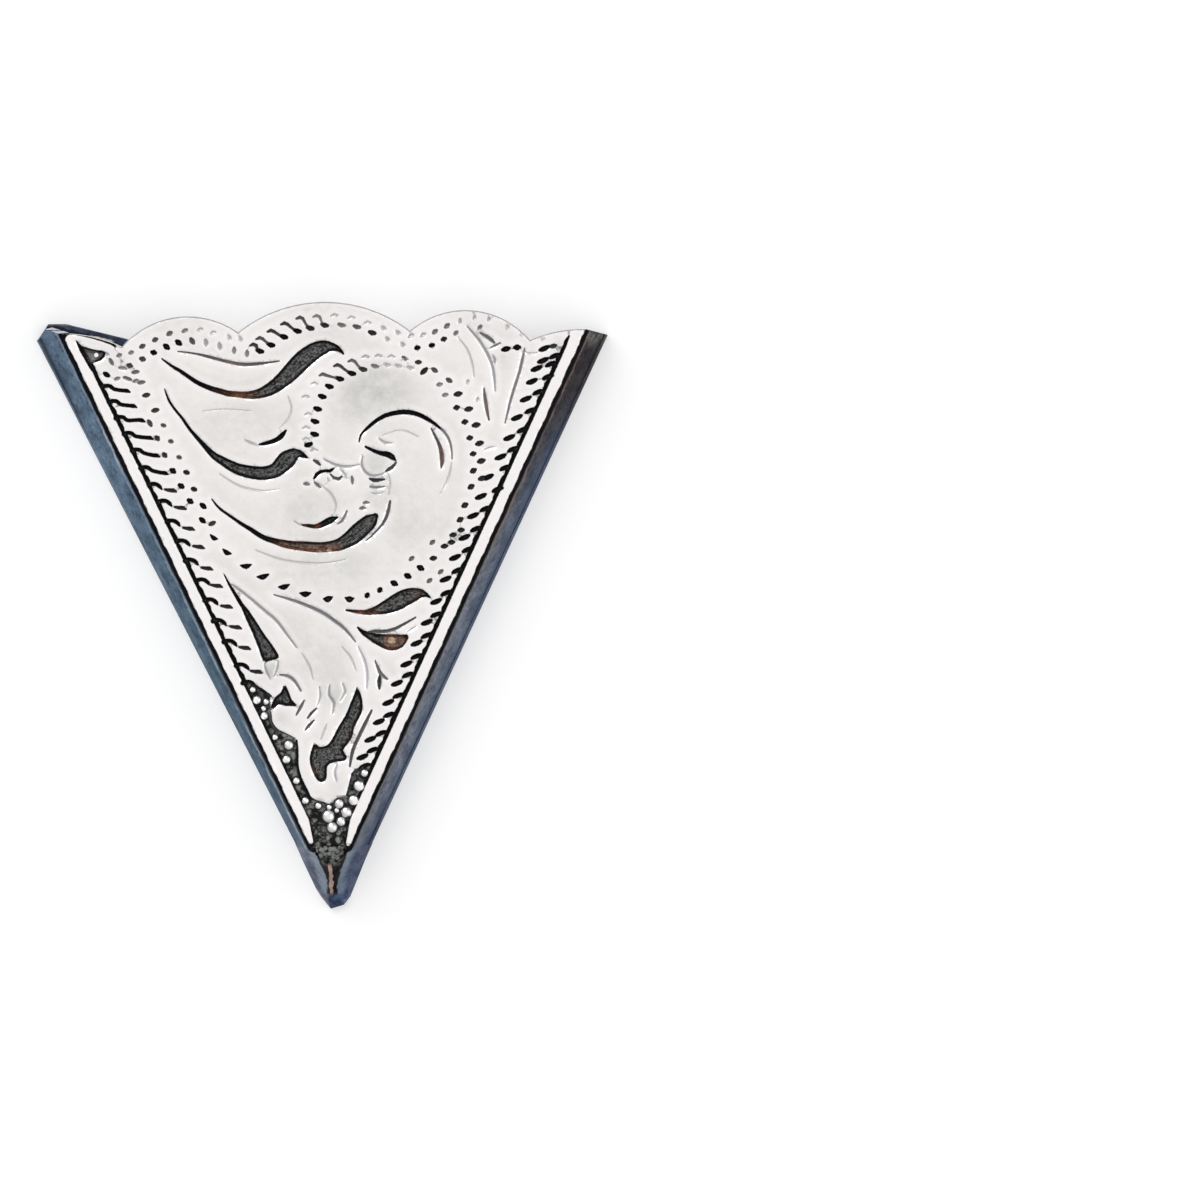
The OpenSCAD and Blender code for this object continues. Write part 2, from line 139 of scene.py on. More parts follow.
TOP_LEAF_CUTS = [
    # The small leaf in the right top corner
    (0.5, [(8.9, 35.35, 0.06), (9.3, 34.9, 0.13), (9.7, 34.4, 0.16), (10.1, 33.7, 0.16), (10.4, 33.0, 0.14),
           (10.55, 32.2, 0.14), (10.6, 31.3, 0.06)]),
    (0.3, [(8.4, 34.6, 0.06), (8.9, 33.9, 0.12), (9.2, 33.0, 0.12), (9.3, 32.2, 0.06)]),
    (0.75, [(9.9, 31.5, 0.06), (9.97, 30.9, 0.18), (10.05, 30.3, 0.2), (10.2, 29.5, 0.08)]),
    (0.6, [(12.45, 33.9, 0.1), (12.3, 33.2, 0.16), (12.1, 32.4, 0.16), (11.8, 31.5, 0.16), (11.55, 30.7, 0.14),
           (11.4, 30.1, 0.12), (11.2, 29.3, 0.06)]),
    (0.7, [(9.7, 34.95, 0.08), (10.1, 34.72, 0.2), (10.45, 34.45, 0.2), (10.6, 34.3, 0.08)]),
    (0.6, [(10.35, 34.0, 0.08), (10.6, 34.12, 0.16), (10.95, 34.3, 0.08)]),
    (0.5, [(10.5, 33.5, 0.06), (10.6, 33.3, 0.16), (10.6, 33.05, 0.06)]),
    (0.35, [(9.9, 27.65, 0.06), (10.2, 27.75, 0.14), (10.55, 27.8, 0.06)]),
    (0.3, [(12.3, 33.75, 0.06), (12.8, 33.62, 0.14), (13.2, 33.65, 0.06)]),
]
PLUME_CUTS = [
    # The veins of the plume
    (0.5, [(-5.9, 19.35, 0.06), (-5.6, 19.15, 0.12), (-4.8, 18.5, 0.14), (-4.0, 17.8, 0.16), (-3.2, 17.1, 0.16),
           (-2.6, 16.3, 0.14), (-1.95, 15.4, 0.06)]),
    (0.6, [(-3.3, 18.7, 0.06), (-2.0, 18.3, 0.15), (-1.0, 17.9, 0.18), (-0.2, 17.5, 0.18), (0.5, 17.0, 0.18),
           (1.1, 16.5, 0.15), (1.75, 15.7, 0.06)]),
    (0.25, [(-1.6, 15.0, 0.06), (-1.15, 14.2, 0.14), (-0.95, 13.4, 0.06)]),
    (0.25, [(0.9, 15.4, 0.06), (1.45, 14.7, 0.14), (1.75, 13.9, 0.06)]),
    (0.35, [(1.9, 15.4, 0.06), (2.3, 14.5, 0.14), (2.45, 13.6, 0.14), (2.4, 12.8, 0.06)]),
    (0.6, [(-3.0, 13.68, 0.08), (-2.5, 13.6, 0.16), (-2.1, 13.3, 0.16), (-1.7, 12.65, 0.08)]),
    (0.35, [(-3.95, 14.35, 0.06), (-3.85, 13.9, 0.12), (-3.6, 13.45, 0.06)]),
    (0.35, [(-3.1, 14.5, 0.06), (-3.15, 14.1, 0.12), (-3.35, 13.6, 0.06)]),
    (0.7, [(-2.0, 11.15, 0.08), (-1.75, 11.6, 0.18), (-1.5, 12.05, 0.08)]),
    (0.8, [(-1.3, 10.95, 0.08), (-1.05, 11.25, 0.18), (-0.75, 11.55, 0.08)]),
    (0.8, [(-1.45, 10.2, 0.08), (-1.2, 10.5, 0.18), (-0.9, 10.8, 0.08)]),
    (0.4, [(0.1, 13.0, 0.06), (0.05, 12.4, 0.14), (0.35, 11.9, 0.16), (0.25, 11.2, 0.06)]),
    (0.35, [(0.9, 13.1, 0.06), (1.05, 12.6, 0.14), (0.75, 12.0, 0.06)]),
    (0.35, [(-0.55, 12.9, 0.06), (-0.5, 12.3, 0.12), (-0.65, 11.8, 0.06)]),
    (0.3, [(-0.1, 10.6, 0.06), (-0.3, 10.1, 0.14), (-0.5, 9.6, 0.06)]),
    (0.35, [(0.5, 8.0, 0.06), (0.35, 7.5, 0.14), (0.45, 7.0, 0.06)]),
    # The thin upper end of the dark wedge on its left
    (1.0, [(-6.4, 20.0, 0.05), (-6.1, 19.4, 0.12), (-5.75, 18.8, 0.18), (-5.4, 18.2, 0.22), (-5.15, 17.7, 0.1)]),
    # The two leaves beside it
    (1.0, [(1.2, 17.7, 0.1), (1.8, 17.6, 0.2), (2.4, 17.55, 0.3), (3.0, 17.65, 0.5), (3.5, 17.8, 0.75),
           (4.0, 18.0, 0.95), (4.5, 18.25, 1.05), (5.0, 18.5, 1.0), (5.5, 18.65, 0.8), (5.9, 18.7, 0.5),
           (6.2, 18.6, 0.25), (6.4, 18.45, 0.1)]),
    (1.0, [(1.9, 16.6, 0.1), (2.2, 16.3, 0.25), (2.6, 16.1, 0.45), (3.0, 15.9, 0.6), (3.5, 15.75, 0.85),
           (4.0, 15.65, 1.0), (4.5, 15.75, 0.85), (4.85, 15.95, 0.4)]),
    (0.8, [(2.5, 16.3, 0.1), (3.0, 16.35, 0.2), (3.6, 16.35, 0.2), (4.2, 16.5, 0.18), (4.8, 16.8, 0.15),
           (5.5, 17.2, 0.08)]),
    (0.4, [(5.0, 16.3, 0.06), (5.25, 16.45, 0.14), (5.5, 16.6, 0.06)]),
    (0.7, [(2.95, 14.5, 0.06), (3.15, 14.0, 0.18), (3.3, 13.7, 0.2), (3.7, 13.35, 0.1)]),
    (0.9, [(3.25, 13.6, 0.1), (3.2, 13.2, 0.26), (3.2, 12.75, 0.1)]),
    (0.8, [(2.7, 11.4, 0.1), (2.3, 10.6, 0.2), (1.9, 9.8, 0.2), (1.5, 8.9, 0.2), (1.3, 7.9, 0.1)]),
    # The left side of the foot
    (1.0, [(-2.0, 9.55, 0.1), (-2.02, 8.8, 0.24), (-2.05, 8.0, 0.3), (-1.92, 7.4, 0.28), (-1.72, 6.9, 0.26),
           (-1.47, 6.4, 0.26), (-1.27, 5.95, 0.28), (-0.85, 5.68, 0.22), (-0.3, 5.6, 0.1)]),
    (1.0, [(-4.9, 13.3, 0.1), (-4.45, 12.9, 0.22), (-3.95, 12.55, 0.26), (-3.7, 12.2, 0.16)]),
    (0.9, [(-3.75, 11.7, 0.1), (-3.65, 11.2, 0.2), (-3.6, 10.7, 0.22), (-3.25, 10.2, 0.22), (-2.7, 9.92, 0.2),
           (-2.2, 9.7, 0.1)]),
    (0.9, [(1.1, 6.1, 0.1), (1.3, 6.6, 0.2), (1.45, 7.2, 0.2), (1.65, 7.7, 0.1)]),
    # The dark knot in the left top corner
    (1.0, [(-15.4, 34.65, 0.06), (-15.1, 34.15, 0.26), (-14.75, 33.55, 0.32), (-14.45, 33.0, 0.3),
           (-14.2, 32.6, 0.2)]),
    (1.0, [(-15.15, 34.32, 0.1), (-14.6, 34.1, 0.16), (-14.1, 33.98, 0.16), (-13.72, 33.88, 0.26),
           (-13.95, 33.55, 0.26), (-14.25, 33.4, 0.14)]),
]
# Dark bodies with an outline of their own: (ink, places round the outline)
DARK_PATCHES = [
    (1.0, [(-6.5, 20.15), (-6.05, 19.45), (-5.6, 18.75), (-5.25, 18.2), (-4.85, 17.7), (-4.4, 17.0), (-3.9, 16.2),
           (-3.4, 15.5), (-3.05, 14.9), (-3.05, 14.72), (-3.9, 14.5), (-4.12, 14.75), (-4.3, 15.3), (-4.6, 16.1),
           (-4.9, 16.8), (-5.15, 17.35), (-5.4, 18.0), (-5.75, 18.7), (-6.15, 19.4)]),
    (1.0, [(-2.65, 13.1), (-2.45, 12.6), (-2.25, 12.1), (-1.9, 11.7), (-2.25, 11.7), (-2.7, 11.72), (-3.1, 11.8),
           (-3.5, 11.4), (-3.65, 11.45), (-3.5, 11.95), (-3.3, 12.3), (-2.95, 12.6), (-2.8, 13.0)]),
    (1.0, [(1.8, 12.95), (2.05, 12.4), (2.15, 11.8), (2.1, 11.3), (1.85, 10.8), (1.6, 10.3), (1.5, 9.8),
           (1.15, 9.25), (0.9, 8.9), (1.12, 8.55), (1.0, 8.25), (0.3, 8.15), (-0.1, 7.9), (-0.15, 7.2),
           (-0.35, 6.93), (-0.7, 7.0), (-1.0, 7.5), (-1.2, 8.2), (-1.15, 8.75), (-0.9, 9.4), (-0.6, 9.15),
           (-0.2, 9.2), (0.05, 9.4), (0.3, 9.8), (0.5, 10.2), (0.8, 10.7), (1.1, 11.2), (1.35, 11.8), (1.6, 12.4)]),
    (0.85, [(-15.05, 34.2), (-14.6, 34.1), (-14.0, 34.0), (-13.7, 33.9), (-13.9, 33.5), (-14.3, 33.3),
           (-14.5, 33.2), (-14.8, 33.6)]),
]
# Matted ground at the foot, sunk below the beads that stand in it
GROUND = [
    (-5.0, 13.35), (-4.3, 12.75), (-3.75, 12.35), (-3.6, 11.6), (-3.7, 10.9), (-3.3, 10.2), (-2.5, 9.9),
    (-2.05, 9.5), (-2.1, 8.4), (-2.0, 7.5), (-1.8, 6.9), (-1.5, 6.3), (-1.25, 5.85), (-0.6, 5.75), (0.0, 5.55),
    (0.5, 5.95), (1.05, 6.05), (1.3, 6.7), (1.45, 7.3), (1.75, 7.75), (2.5, 7.85), (1.95, 6.55), (1.4, 5.3),
    (1.15, 4.2), (0.95, 3.5), (1.0, 2.95), (1.5, 2.3), (-1.5, 2.3), (-1.0, 2.85), (-0.95, 3.5), (-1.15, 4.3),
    (-1.75, 5.8), (-2.5, 7.5), (-3.3, 9.3), (-4.2, 11.25), (-5.05, 13.1),
]
# Raised beads in the ground, and one in the corner knot: x, y, radius
FOOT_BEADS = [
    (-4.45, 12.1, 0.28), (-3.88, 11.98, 0.2), (-4.0, 11.1, 0.26), (-3.35, 9.75, 0.2), (-2.5, 9.25, 0.32),
    (-2.65, 8.35, 0.28), (-2.05, 7.0, 0.24), (-1.5, 5.75, 0.24), (-0.7, 5.42, 0.22), (-0.08, 4.75, 0.42),
    (-0.02, 5.32, 0.18), (0.6, 5.55, 0.32), (1.05, 5.0, 0.36), (0.72, 4.42, 0.32), (0.15, 4.05, 0.36),
    (1.5, 5.75, 0.34), (1.85, 6.65, 0.36), (2.2, 7.45, 0.26), (-14.18, 33.77, 0.17), (-4.7, 12.75, 0.2),
    (-4.05, 11.55, 0.18), (0.45, 5.12, 0.17),
]
# The rings of points drawn on a bead and in the ground round it: share of its radius, more millimetres, points
BEAD_RINGS = ((1.0, 0.09, 20), (1.0, 0.0, 18), (0.78, 0.0, 14), (0.5, 0.0, 10), (0.22, 0.0, 5))
# Punch marks, as rows of (ink, length, width, turn in degrees, places)
PUNCH_ROWS = [
    # Round the inside of the scroll, on its right side and back under it
    (0.95, 0.6, 0.26, 42, [(6.2, 32.6)]),
    (0.8, 0.45, 0.24, -35, [(6.85, 32.65), (7.75, 32.0)]),
    (0.55, 0.4, 0.22, 10, [(7.15, 31.75), (7.5, 31.1)]),
    (0.95, 0.42, 0.28, 12, [(8.2, 30.3), (8.7, 29.4), (9.0, 28.4), (9.2, 27.4)]),
    (0.95, 0.46, 0.29, 28, [(9.2, 26.35), (9.05, 25.35), (8.65, 24.2), (8.35, 23.3)]),
    (0.95, 0.46, 0.26, 8, [(7.9, 22.35), (7.35, 21.65), (6.65, 20.9)]),
    (1.0, 0.5, 0.3, -28, [(5.85, 20.3), (5.05, 19.8), (4.2, 19.35)]),
    (1.0, 0.34, 0.34, 60, [(3.3, 18.95), (2.5, 18.62)]),
    (1.0, 0.5, 0.26, -40, [(-7.7, 23.4), (-7.65, 24.3)]),
    (0.9, 0.5, 0.24, 25, [(-7.1, 23.2)]),
    (0.95, 0.4, 0.32, -20, [(-8.2, 25.35), (-8.65, 26.4)]),
    (0.75, 0.34, 0.28, -20, [(-9.1, 27.35), (-9.6, 28.35), (-10.05, 29.35)]),
    (0.9, 0.5, 0.24, 10, [(-10.55, 30.3), (-11.1, 31.25)]),
    (0.7, 0.5, 0.2, 8, [(-11.4, 32.05), (-11.75, 32.7)]),
    # Round the outside of the scroll
    (0.7, 0.42, 0.2, -35, [(5.0, 33.4)]),
    (0.9, 0.42, 0.24, 0, [(5.85, 33.15)]),
    (0.95, 0.55, 0.28, 10, [(8.3, 31.15), (8.95, 30.2), (9.4, 29.2)]),
    (0.95, 0.55, 0.28, 15, [(9.6, 28.05), (9.7, 26.95), (9.75, 25.87)]),
    (0.4, 0.3, 0.2, 80, [(8.9, 31.9), (9.5, 30.8)]),
    (0.95, 0.45, 0.26, 5, [(8.4, 22.65), (7.8, 21.9)]),
    (0.7, 0.4, 0.22, 40, [(7.1, 20.05), (6.4, 19.5), (6.6, 21.9), (5.3, 20.9)]),
    (1.0, 0.45, 0.32, -35, [(-8.45, 24.6), (-9.0, 25.55), (-9.5, 26.5)]),
    (0.9, 0.4, 0.3, -50, [(-10.0, 27.5), (-10.45, 28.55)]),
    (0.85, 0.5, 0.24, -60, [(-10.9, 29.5)]),
    # Along the scalloped top, on the left and then on the right
    (0.8, 0.4, 0.26, 25, [(-11.3, 34.3), (-10.5, 34.7)]),
    (0.7, 0.42, 0.26, 30, [(-9.6, 35.08)]),
    (0.55, 0.42, 0.22, 25, [(-8.65, 35.25)]),
    (0.35, 0.4, 0.22, 10, [(-7.7, 35.3), (-6.9, 35.1)]),
    (0.35, 0.42, 0.2, -60, [(-5.9, 34.8), (-5.2, 34.7)]),
    (0.55, 0.36, 0.24, 20, [(-12.0, 33.92), (-12.75, 33.75)]),
    (0.85, 0.42, 0.3, -20, [(-11.3, 33.5), (-12.1, 33.1)]),
    (1.0, 0.42, 0.32, -15, [(-10.6, 33.9)]),
    (1.0, 0.5, 0.3, -40, [(-9.8, 34.25), (-9.05, 34.5)]),
    (0.8, 0.5, 0.26, -58, [(-8.2, 34.6)]),
    (0.5, 0.5, 0.24, -80, [(-7.35, 34.5), (-6.5, 34.25)]),
    (0.55, 0.45, 0.22, 88, [(-5.6, 34.0), (-4.8, 33.8)]),
    (0.35, 0.42, 0.22, -35, [(3.7, 35.3), (4.6, 35.0)]),
    (0.45, 0.4, 0.22, 30, [(5.4, 34.8), (6.15, 34.85)]),
    (0.65, 0.42, 0.25, 40, [(6.9, 35.05), (7.65, 35.4)]),
    (0.4, 0.32, 0.25, 80, [(8.45, 35.7), (9.35, 35.9), (10.25, 35.8)]),
    (0.4, 0.4, 0.24, -50, [(3.95, 34.6), (4.9, 34.25)]),
    (1.0, 0.38, 0.34, 10, [(5.8, 34.05), (6.7, 34.2)]),
    (0.95, 0.4, 0.3, 20, [(7.45, 34.58)]),
    (0.55, 0.36, 0.28, 45, [(8.2, 34.95), (9.7, 35.3)]),
    (1.0, 0.6, 0.28, 14, [(11.3, 33.92)]),
    (1.0, 0.5, 0.3, 2, [(12.0, 34.02)]),
    (0.9, 0.5, 0.24, 12, [(14.25, 34.08)]),
    (0.3, 0.4, 0.2, 70, [(11.4, 35.3), (12.3, 34.9), (-12.9, 34.3), (13.6, 34.6)]),
    # The worn corner on the left
    (0.65, 0.5, 0.2, -60, [(-13.25, 33.35)]),
    (0.55, 0.55, 0.18, -10, [(-12.55, 32.95)]),
    (1.0, 0.5, 0.26, -30, [(-13.55, 32.55)]),
    (0.7, 0.6, 0.18, -20, [(-12.25, 32.3)]),
    (0.6, 0.4, 0.18, 20, [(-11.75, 32.15), (-12.9, 32.3)]),
    (0.4, 0.3, 0.2, -50, [(-13.5, 33.8), (-12.6, 33.35)]),
]
# A punch mark's shape: places along it from its middle, and widths there, as shares of its length and width
PUNCH_SHAPE = ((-0.5, 0.7), (-0.32, 1.0), (0.05, 1.05), (0.34, 0.95), (0.5, 0.65))
# Marks of two strokes like the strands of a rope: (ink of head, ink of tail, head x, y, tail x, y)
ROPE_MARKS = [
    # Along the middle scallop
    (1.0, 0.9, -4.0, 33.92, -4.35, 34.35), (1.0, 0.8, -3.3, 34.3, -3.95, 34.75),
    (1.0, 0.9, -2.5, 34.8, -3.25, 35.2), (1.0, 0.9, -1.65, 35.15, -2.4, 35.65),
    (0.95, 0.8, -0.85, 35.32, -1.45, 36.0), (0.95, 0.55, 0.05, 35.5, -0.4, 36.1),
    (0.65, 0.4, 1.1, 35.5, 0.7, 36.15), (0.75, 0.35, 2.05, 35.38, 1.75, 36.0),
    (0.95, 0.35, 3.0, 35.0, 2.75, 35.68),
    # Over the top of the scroll
    (1.0, 0.75, 0.95, 32.15, -0.05, 32.45), (1.0, 0.85, 1.7, 32.48, 0.85, 33.02),
    (0.9, 0.7, 2.4, 32.73, 1.75, 33.3), (0.55, 0.45, 3.15, 32.92, 2.6, 33.55),
    (0.35, 0.4, 3.9, 33.0, 3.4, 33.6), (0.35, 0.35, 4.6, 32.92, 4.2, 33.55),
    (0.4, 0.3, 5.35, 32.8, 5.05, 33.35),
    # Down the left side of the scroll
    (1.0, 0.35, 0.3, 31.68, -0.6, 31.9), (1.0, 0.4, -0.15, 31.05, -1.15, 31.1),
    (1.0, 0.35, -0.45, 30.28, -1.0, 30.0), (1.0, 0.35, -0.62, 29.5, -1.15, 29.15),
    (1.0, 0.35, -0.65, 28.7, -1.15, 28.45), (1.0, 0.4, -1.05, 28.05, -0.75, 27.75),
]
# Half moons cut under the scroll: x, y, width, height, turn in degrees
HALF_MOONS = [
    (1.4, 18.4, 0.52, 0.4, -5), (0.05, 18.42, 0.56, 0.42, 12), (-1.35, 18.74, 0.66, 0.36, 0),
    (-2.68, 19.2, 0.66, 0.34, 12), (-3.98, 19.85, 0.72, 0.34, 12), (-5.03, 20.52, 0.66, 0.32, 4),
    (-6.2, 21.38, 0.58, 0.3, -30), (-7.0, 22.3, 0.5, 0.28, -32),
]
# The wriggled cuts beside the left border and the dashes beside the right one: x, y of each middle. The first
# JOINED_WAVES cuts run on into their tails in one stroke.
JOINED_WAVES = 6
LEFT_WAVES = [
    (-13.4, 31.8), (-13.0, 30.85), (-12.6, 29.85), (-12.1, 28.85), (-11.6, 27.8), (-11.1, 26.7), (-10.6, 25.65),
    (-10.0, 24.6), (-9.5, 23.35), (-8.9, 22.1), (-8.4, 20.9), (-7.7, 19.65), (-7.2, 18.4), (-6.7, 17.1),
    (-6.05, 15.8), (-5.3, 14.3), (-4.9, 13.2),
]
LEFT_WAVE_TAILS = [
    (-12.5, 31.55), (-12.1, 30.6), (-11.6, 29.7), (-11.1, 28.6), (-10.7, 27.5), (-10.2, 26.4), (-9.7, 25.3),
    (-9.1, 24.2), (-8.6, 22.9), (-8.0, 21.75), (-7.5, 20.4), (-6.9, 19.3), (-6.3, 18.0), (-5.75, 16.7),
    (-5.2, 15.4), (-4.5, 13.9), (-3.95, 12.45),
]
RIGHT_DASHES = [
    (14.35, 33.45), (14.1, 32.95), (13.9, 32.15), (13.3, 31.2), (12.8, 30.05), (12.3, 28.85), (11.7, 27.65),
    (11.2, 26.5), (10.7, 25.15), (9.95, 23.95), (9.35, 22.7), (8.8, 21.4), (8.15, 20.1), (7.45, 18.7), (6.8, 17.35),
    (6.2, 16.05), (5.55, 14.75), (5.0, 13.6), (4.4, 12.3), (3.8, 11.1), (3.3, 9.95), (2.75, 8.9), (2.25, 7.9),
]
RIGHT_DASH_ENDS = [
    (13.7, 33.95), (13.6, 33.2), (13.2, 32.7), (12.9, 31.9), (12.5, 30.8), (11.95, 29.65), (11.45, 28.4),
    (10.9, 27.2), (10.1, 25.95), (9.65, 24.75), (9.15, 23.55), (8.6, 22.2), (8.0, 20.95), (7.4, 19.6), (6.8, 18.2),
    (6.2, 16.9), (5.55, 15.6), (4.9, 14.3), (4.3, 13.1), (3.75, 11.9), (3.15, 10.7), (2.6, 9.6), (2.1, 8.5),
    (1.75, 7.5),
]
# Brown tarnish left in some of the cuts, with a painted cream highlight where the strength passes about 1: x, y,
# reach, strength
TARNISH = [
    (-5.4, 31.15, 1.0, 0.8), (-2.9, 21.75, 0.4, 0.6), (-2.2, 21.55, 0.36, 0.75), (-1.6, 21.45, 0.36, 0.9),
    (-1.0, 21.4, 0.38, 0.95), (-0.4, 21.38, 0.34, 1.1), (0.15, 21.42, 0.34, 1.3), (0.6, 21.5, 0.3, 0.8),
    (2.05, 17.42, 0.4, 1.1), (2.8, 17.35, 0.4, 0.8), (4.0, 15.75, 0.42, 1.4), (4.6, 15.8, 0.25, 0.9),
    (7.2, 27.3, 0.8, 0.7), (10.05, 30.4, 0.7, 0.6), (-1.5, 22.95, 0.3, 0.8), (-0.6, 23.0, 0.22, 1.1),
    (-5.6, 33.2, 1.0, 0.6), (2.0, 10.0, 0.5, 0.3), (-1.15, 7.6, 0.3, 0.7), (5.6, 18.8, 0.3, 0.4),
]
# Painted shade in soft grey plates on the face, where the leaves' modelling turns away from the light: x, y, reach,
# strength
SHADE_PLATES = [
    (3.4, 31.4, 1.6, 1.3), (1.2, 30.6, 1.3, 0.6), (3.2, 26.9, 0.8, 0.9), (-1.6, 24.6, 1.6, 0.35),
    (3.2, 24.9, 0.8, 0.6), (-3.5, 14.0, 0.6, 0.9), (0.4, 12.4, 1.0, 0.7), (0.0, 21.0, 3.0, 0.5),
    (-4.0, 29.6, 2.6, 0.2),
    (5.5, 23.0, 2.5, 0.35), (-0.5, 15.5, 1.8, 0.45), (-2.9, 11.0, 0.6, 0.5), (0.5, 7.0, 0.6, 0.4),
    (11.0, 33.6, 0.8, 0.4), (-6.0, 30.0, 2.0, 0.3), (3.0, 29.2, 0.8, 0.3), (14.6, 34.1, 0.5, 0.9),
    (0.0, 36.5, 2.4, 0.35), (-9.0, 36.0, 1.7, 0.35), (9.2, 36.2, 1.5, 0.35), (-12.9, 33.3, 0.9, 0.35),
]


# Sizes and colours in the panel

class CollarTipSizes(bpy.types.PropertyGroup):
    """The folded sheet's sizes"""

    face_width: bpy.props.FloatProperty(
        name="Face width", description="Between the face's two top corners", default=0.0328, unit="LENGTH")
    face_height: bpy.props.FloatProperty(
        name="Face height", description="From the point to the line through the corners", default=0.0351,
        unit="LENGTH")
    depth: bpy.props.FloatProperty(
        name="Depth", description="From the back of the lips to the face", default=0.0034, unit="LENGTH")
    sheet: bpy.props.FloatProperty(
        name="Sheet", description="Thickness of the sheet", default=0.0007, unit="LENGTH")
    lip_width: bpy.props.FloatProperty(
        name="Lip width", description="Width of each back lip, square to its fold", default=0.0086, unit="LENGTH")
    fold_radius: bpy.props.FloatProperty(
        name="Back fold", description="Rounding of the folds at the back", default=0.00015, unit="LENGTH")
    cut_depth: bpy.props.FloatProperty(
        name="Cut depth", description="Depth of the widest engraved cuts", default=0.0002, unit="LENGTH")
    swell: bpy.props.FloatProperty(
        name="Swell", description="How far the leaves stand up between their cuts", default=0.00009, unit="LENGTH")
    burr: bpy.props.FloatProperty(
        name="Burr", description="How much wider a cut opens at the surface than as drawn",
        default=0.00004, unit="LENGTH")
    mesh_step: bpy.props.FloatProperty(
        name="Mesh step", description="Distance between points on the open parts of the face",
        default=0.00017, unit="LENGTH")
    screw_diameter: bpy.props.FloatProperty(
        name="Screw diameter", description="Diameter of the set screw", default=0.002, unit="LENGTH")


class CollarTipColours(bpy.types.PropertyGroup):
    """The finishes' colours"""

    # Burnished silver, and beside the cuts partly a painted highlight
    bright: bpy.props.FloatVectorProperty(
        name="Burnished edge", description="Silver beside the cuts and on the border", subtype="COLOR", size=4,
        default=(0.92, 0.895, 0.895, 1.0))
    plate: bpy.props.FloatVectorProperty(
        name="Open silver", description="Silver on the open leaves", subtype="COLOR", size=4,
        default=(0.81, 0.79, 0.775, 1.0))
    # Painted shade: the grey of the soft hollows on the leaves
    shade: bpy.props.FloatVectorProperty(
        name="Grey plate", description="Silver in the soft grey hollows", subtype="COLOR", size=4,
        default=(0.57, 0.57, 0.545, 1.0))
    # Partly blackening and partly a painted dark reflection of the bright-cut facets
    black: bpy.props.FloatVectorProperty(
        name="Blackened cut", description="Edges and narrow cuts", subtype="COLOR", size=4,
        default=(0.006, 0.006, 0.007, 1.0))
    # Partly a painted dark reflection of the wide cuts' facets
    floor_of_cut: bpy.props.FloatVectorProperty(
        name="Cut floor", description="Streaked floor of the wide cuts", subtype="COLOR", size=4,
        default=(0.175, 0.175, 0.17, 1.0))
    ground: bpy.props.FloatVectorProperty(
        name="Matted ground", description="Worn patches of the blackened ground at the foot", subtype="COLOR", size=4,
        default=(0.23, 0.24, 0.22, 1.0))
    tarnish: bpy.props.FloatVectorProperty(
        name="Brown tarnish", description="Old brown tarnish in the cuts", subtype="COLOR", size=4,
        default=(0.3, 0.13, 0.07, 1.0))
    # The walls' colours are partly tarnish and partly painted reflection of the surroundings
    blue_wall: bpy.props.FloatVectorProperty(
        name="Blued wall", description="The darkened left wall", subtype="COLOR", size=4,
        default=(0.15, 0.23, 0.325, 1.0))
    plum_wall: bpy.props.FloatVectorProperty(
        name="Plum wall", description="The darkened right wall", subtype="COLOR", size=4,
        default=(0.02, 0.016, 0.018, 1.0))
    back: bpy.props.FloatVectorProperty(
        name="Back", description="The satin back", subtype="COLOR", size=4, default=(0.6, 0.6, 0.6, 1.0))
    steel: bpy.props.FloatVectorProperty(
        name="Steel", description="The set screw", subtype="COLOR", size=4, default=(0.4, 0.4, 0.42, 1.0))
    floor: bpy.props.FloatVectorProperty(
        name="Floor", description="The floor under the part", subtype="COLOR", size=4,
        default=(0.64, 0.64, 0.64, 1.0))


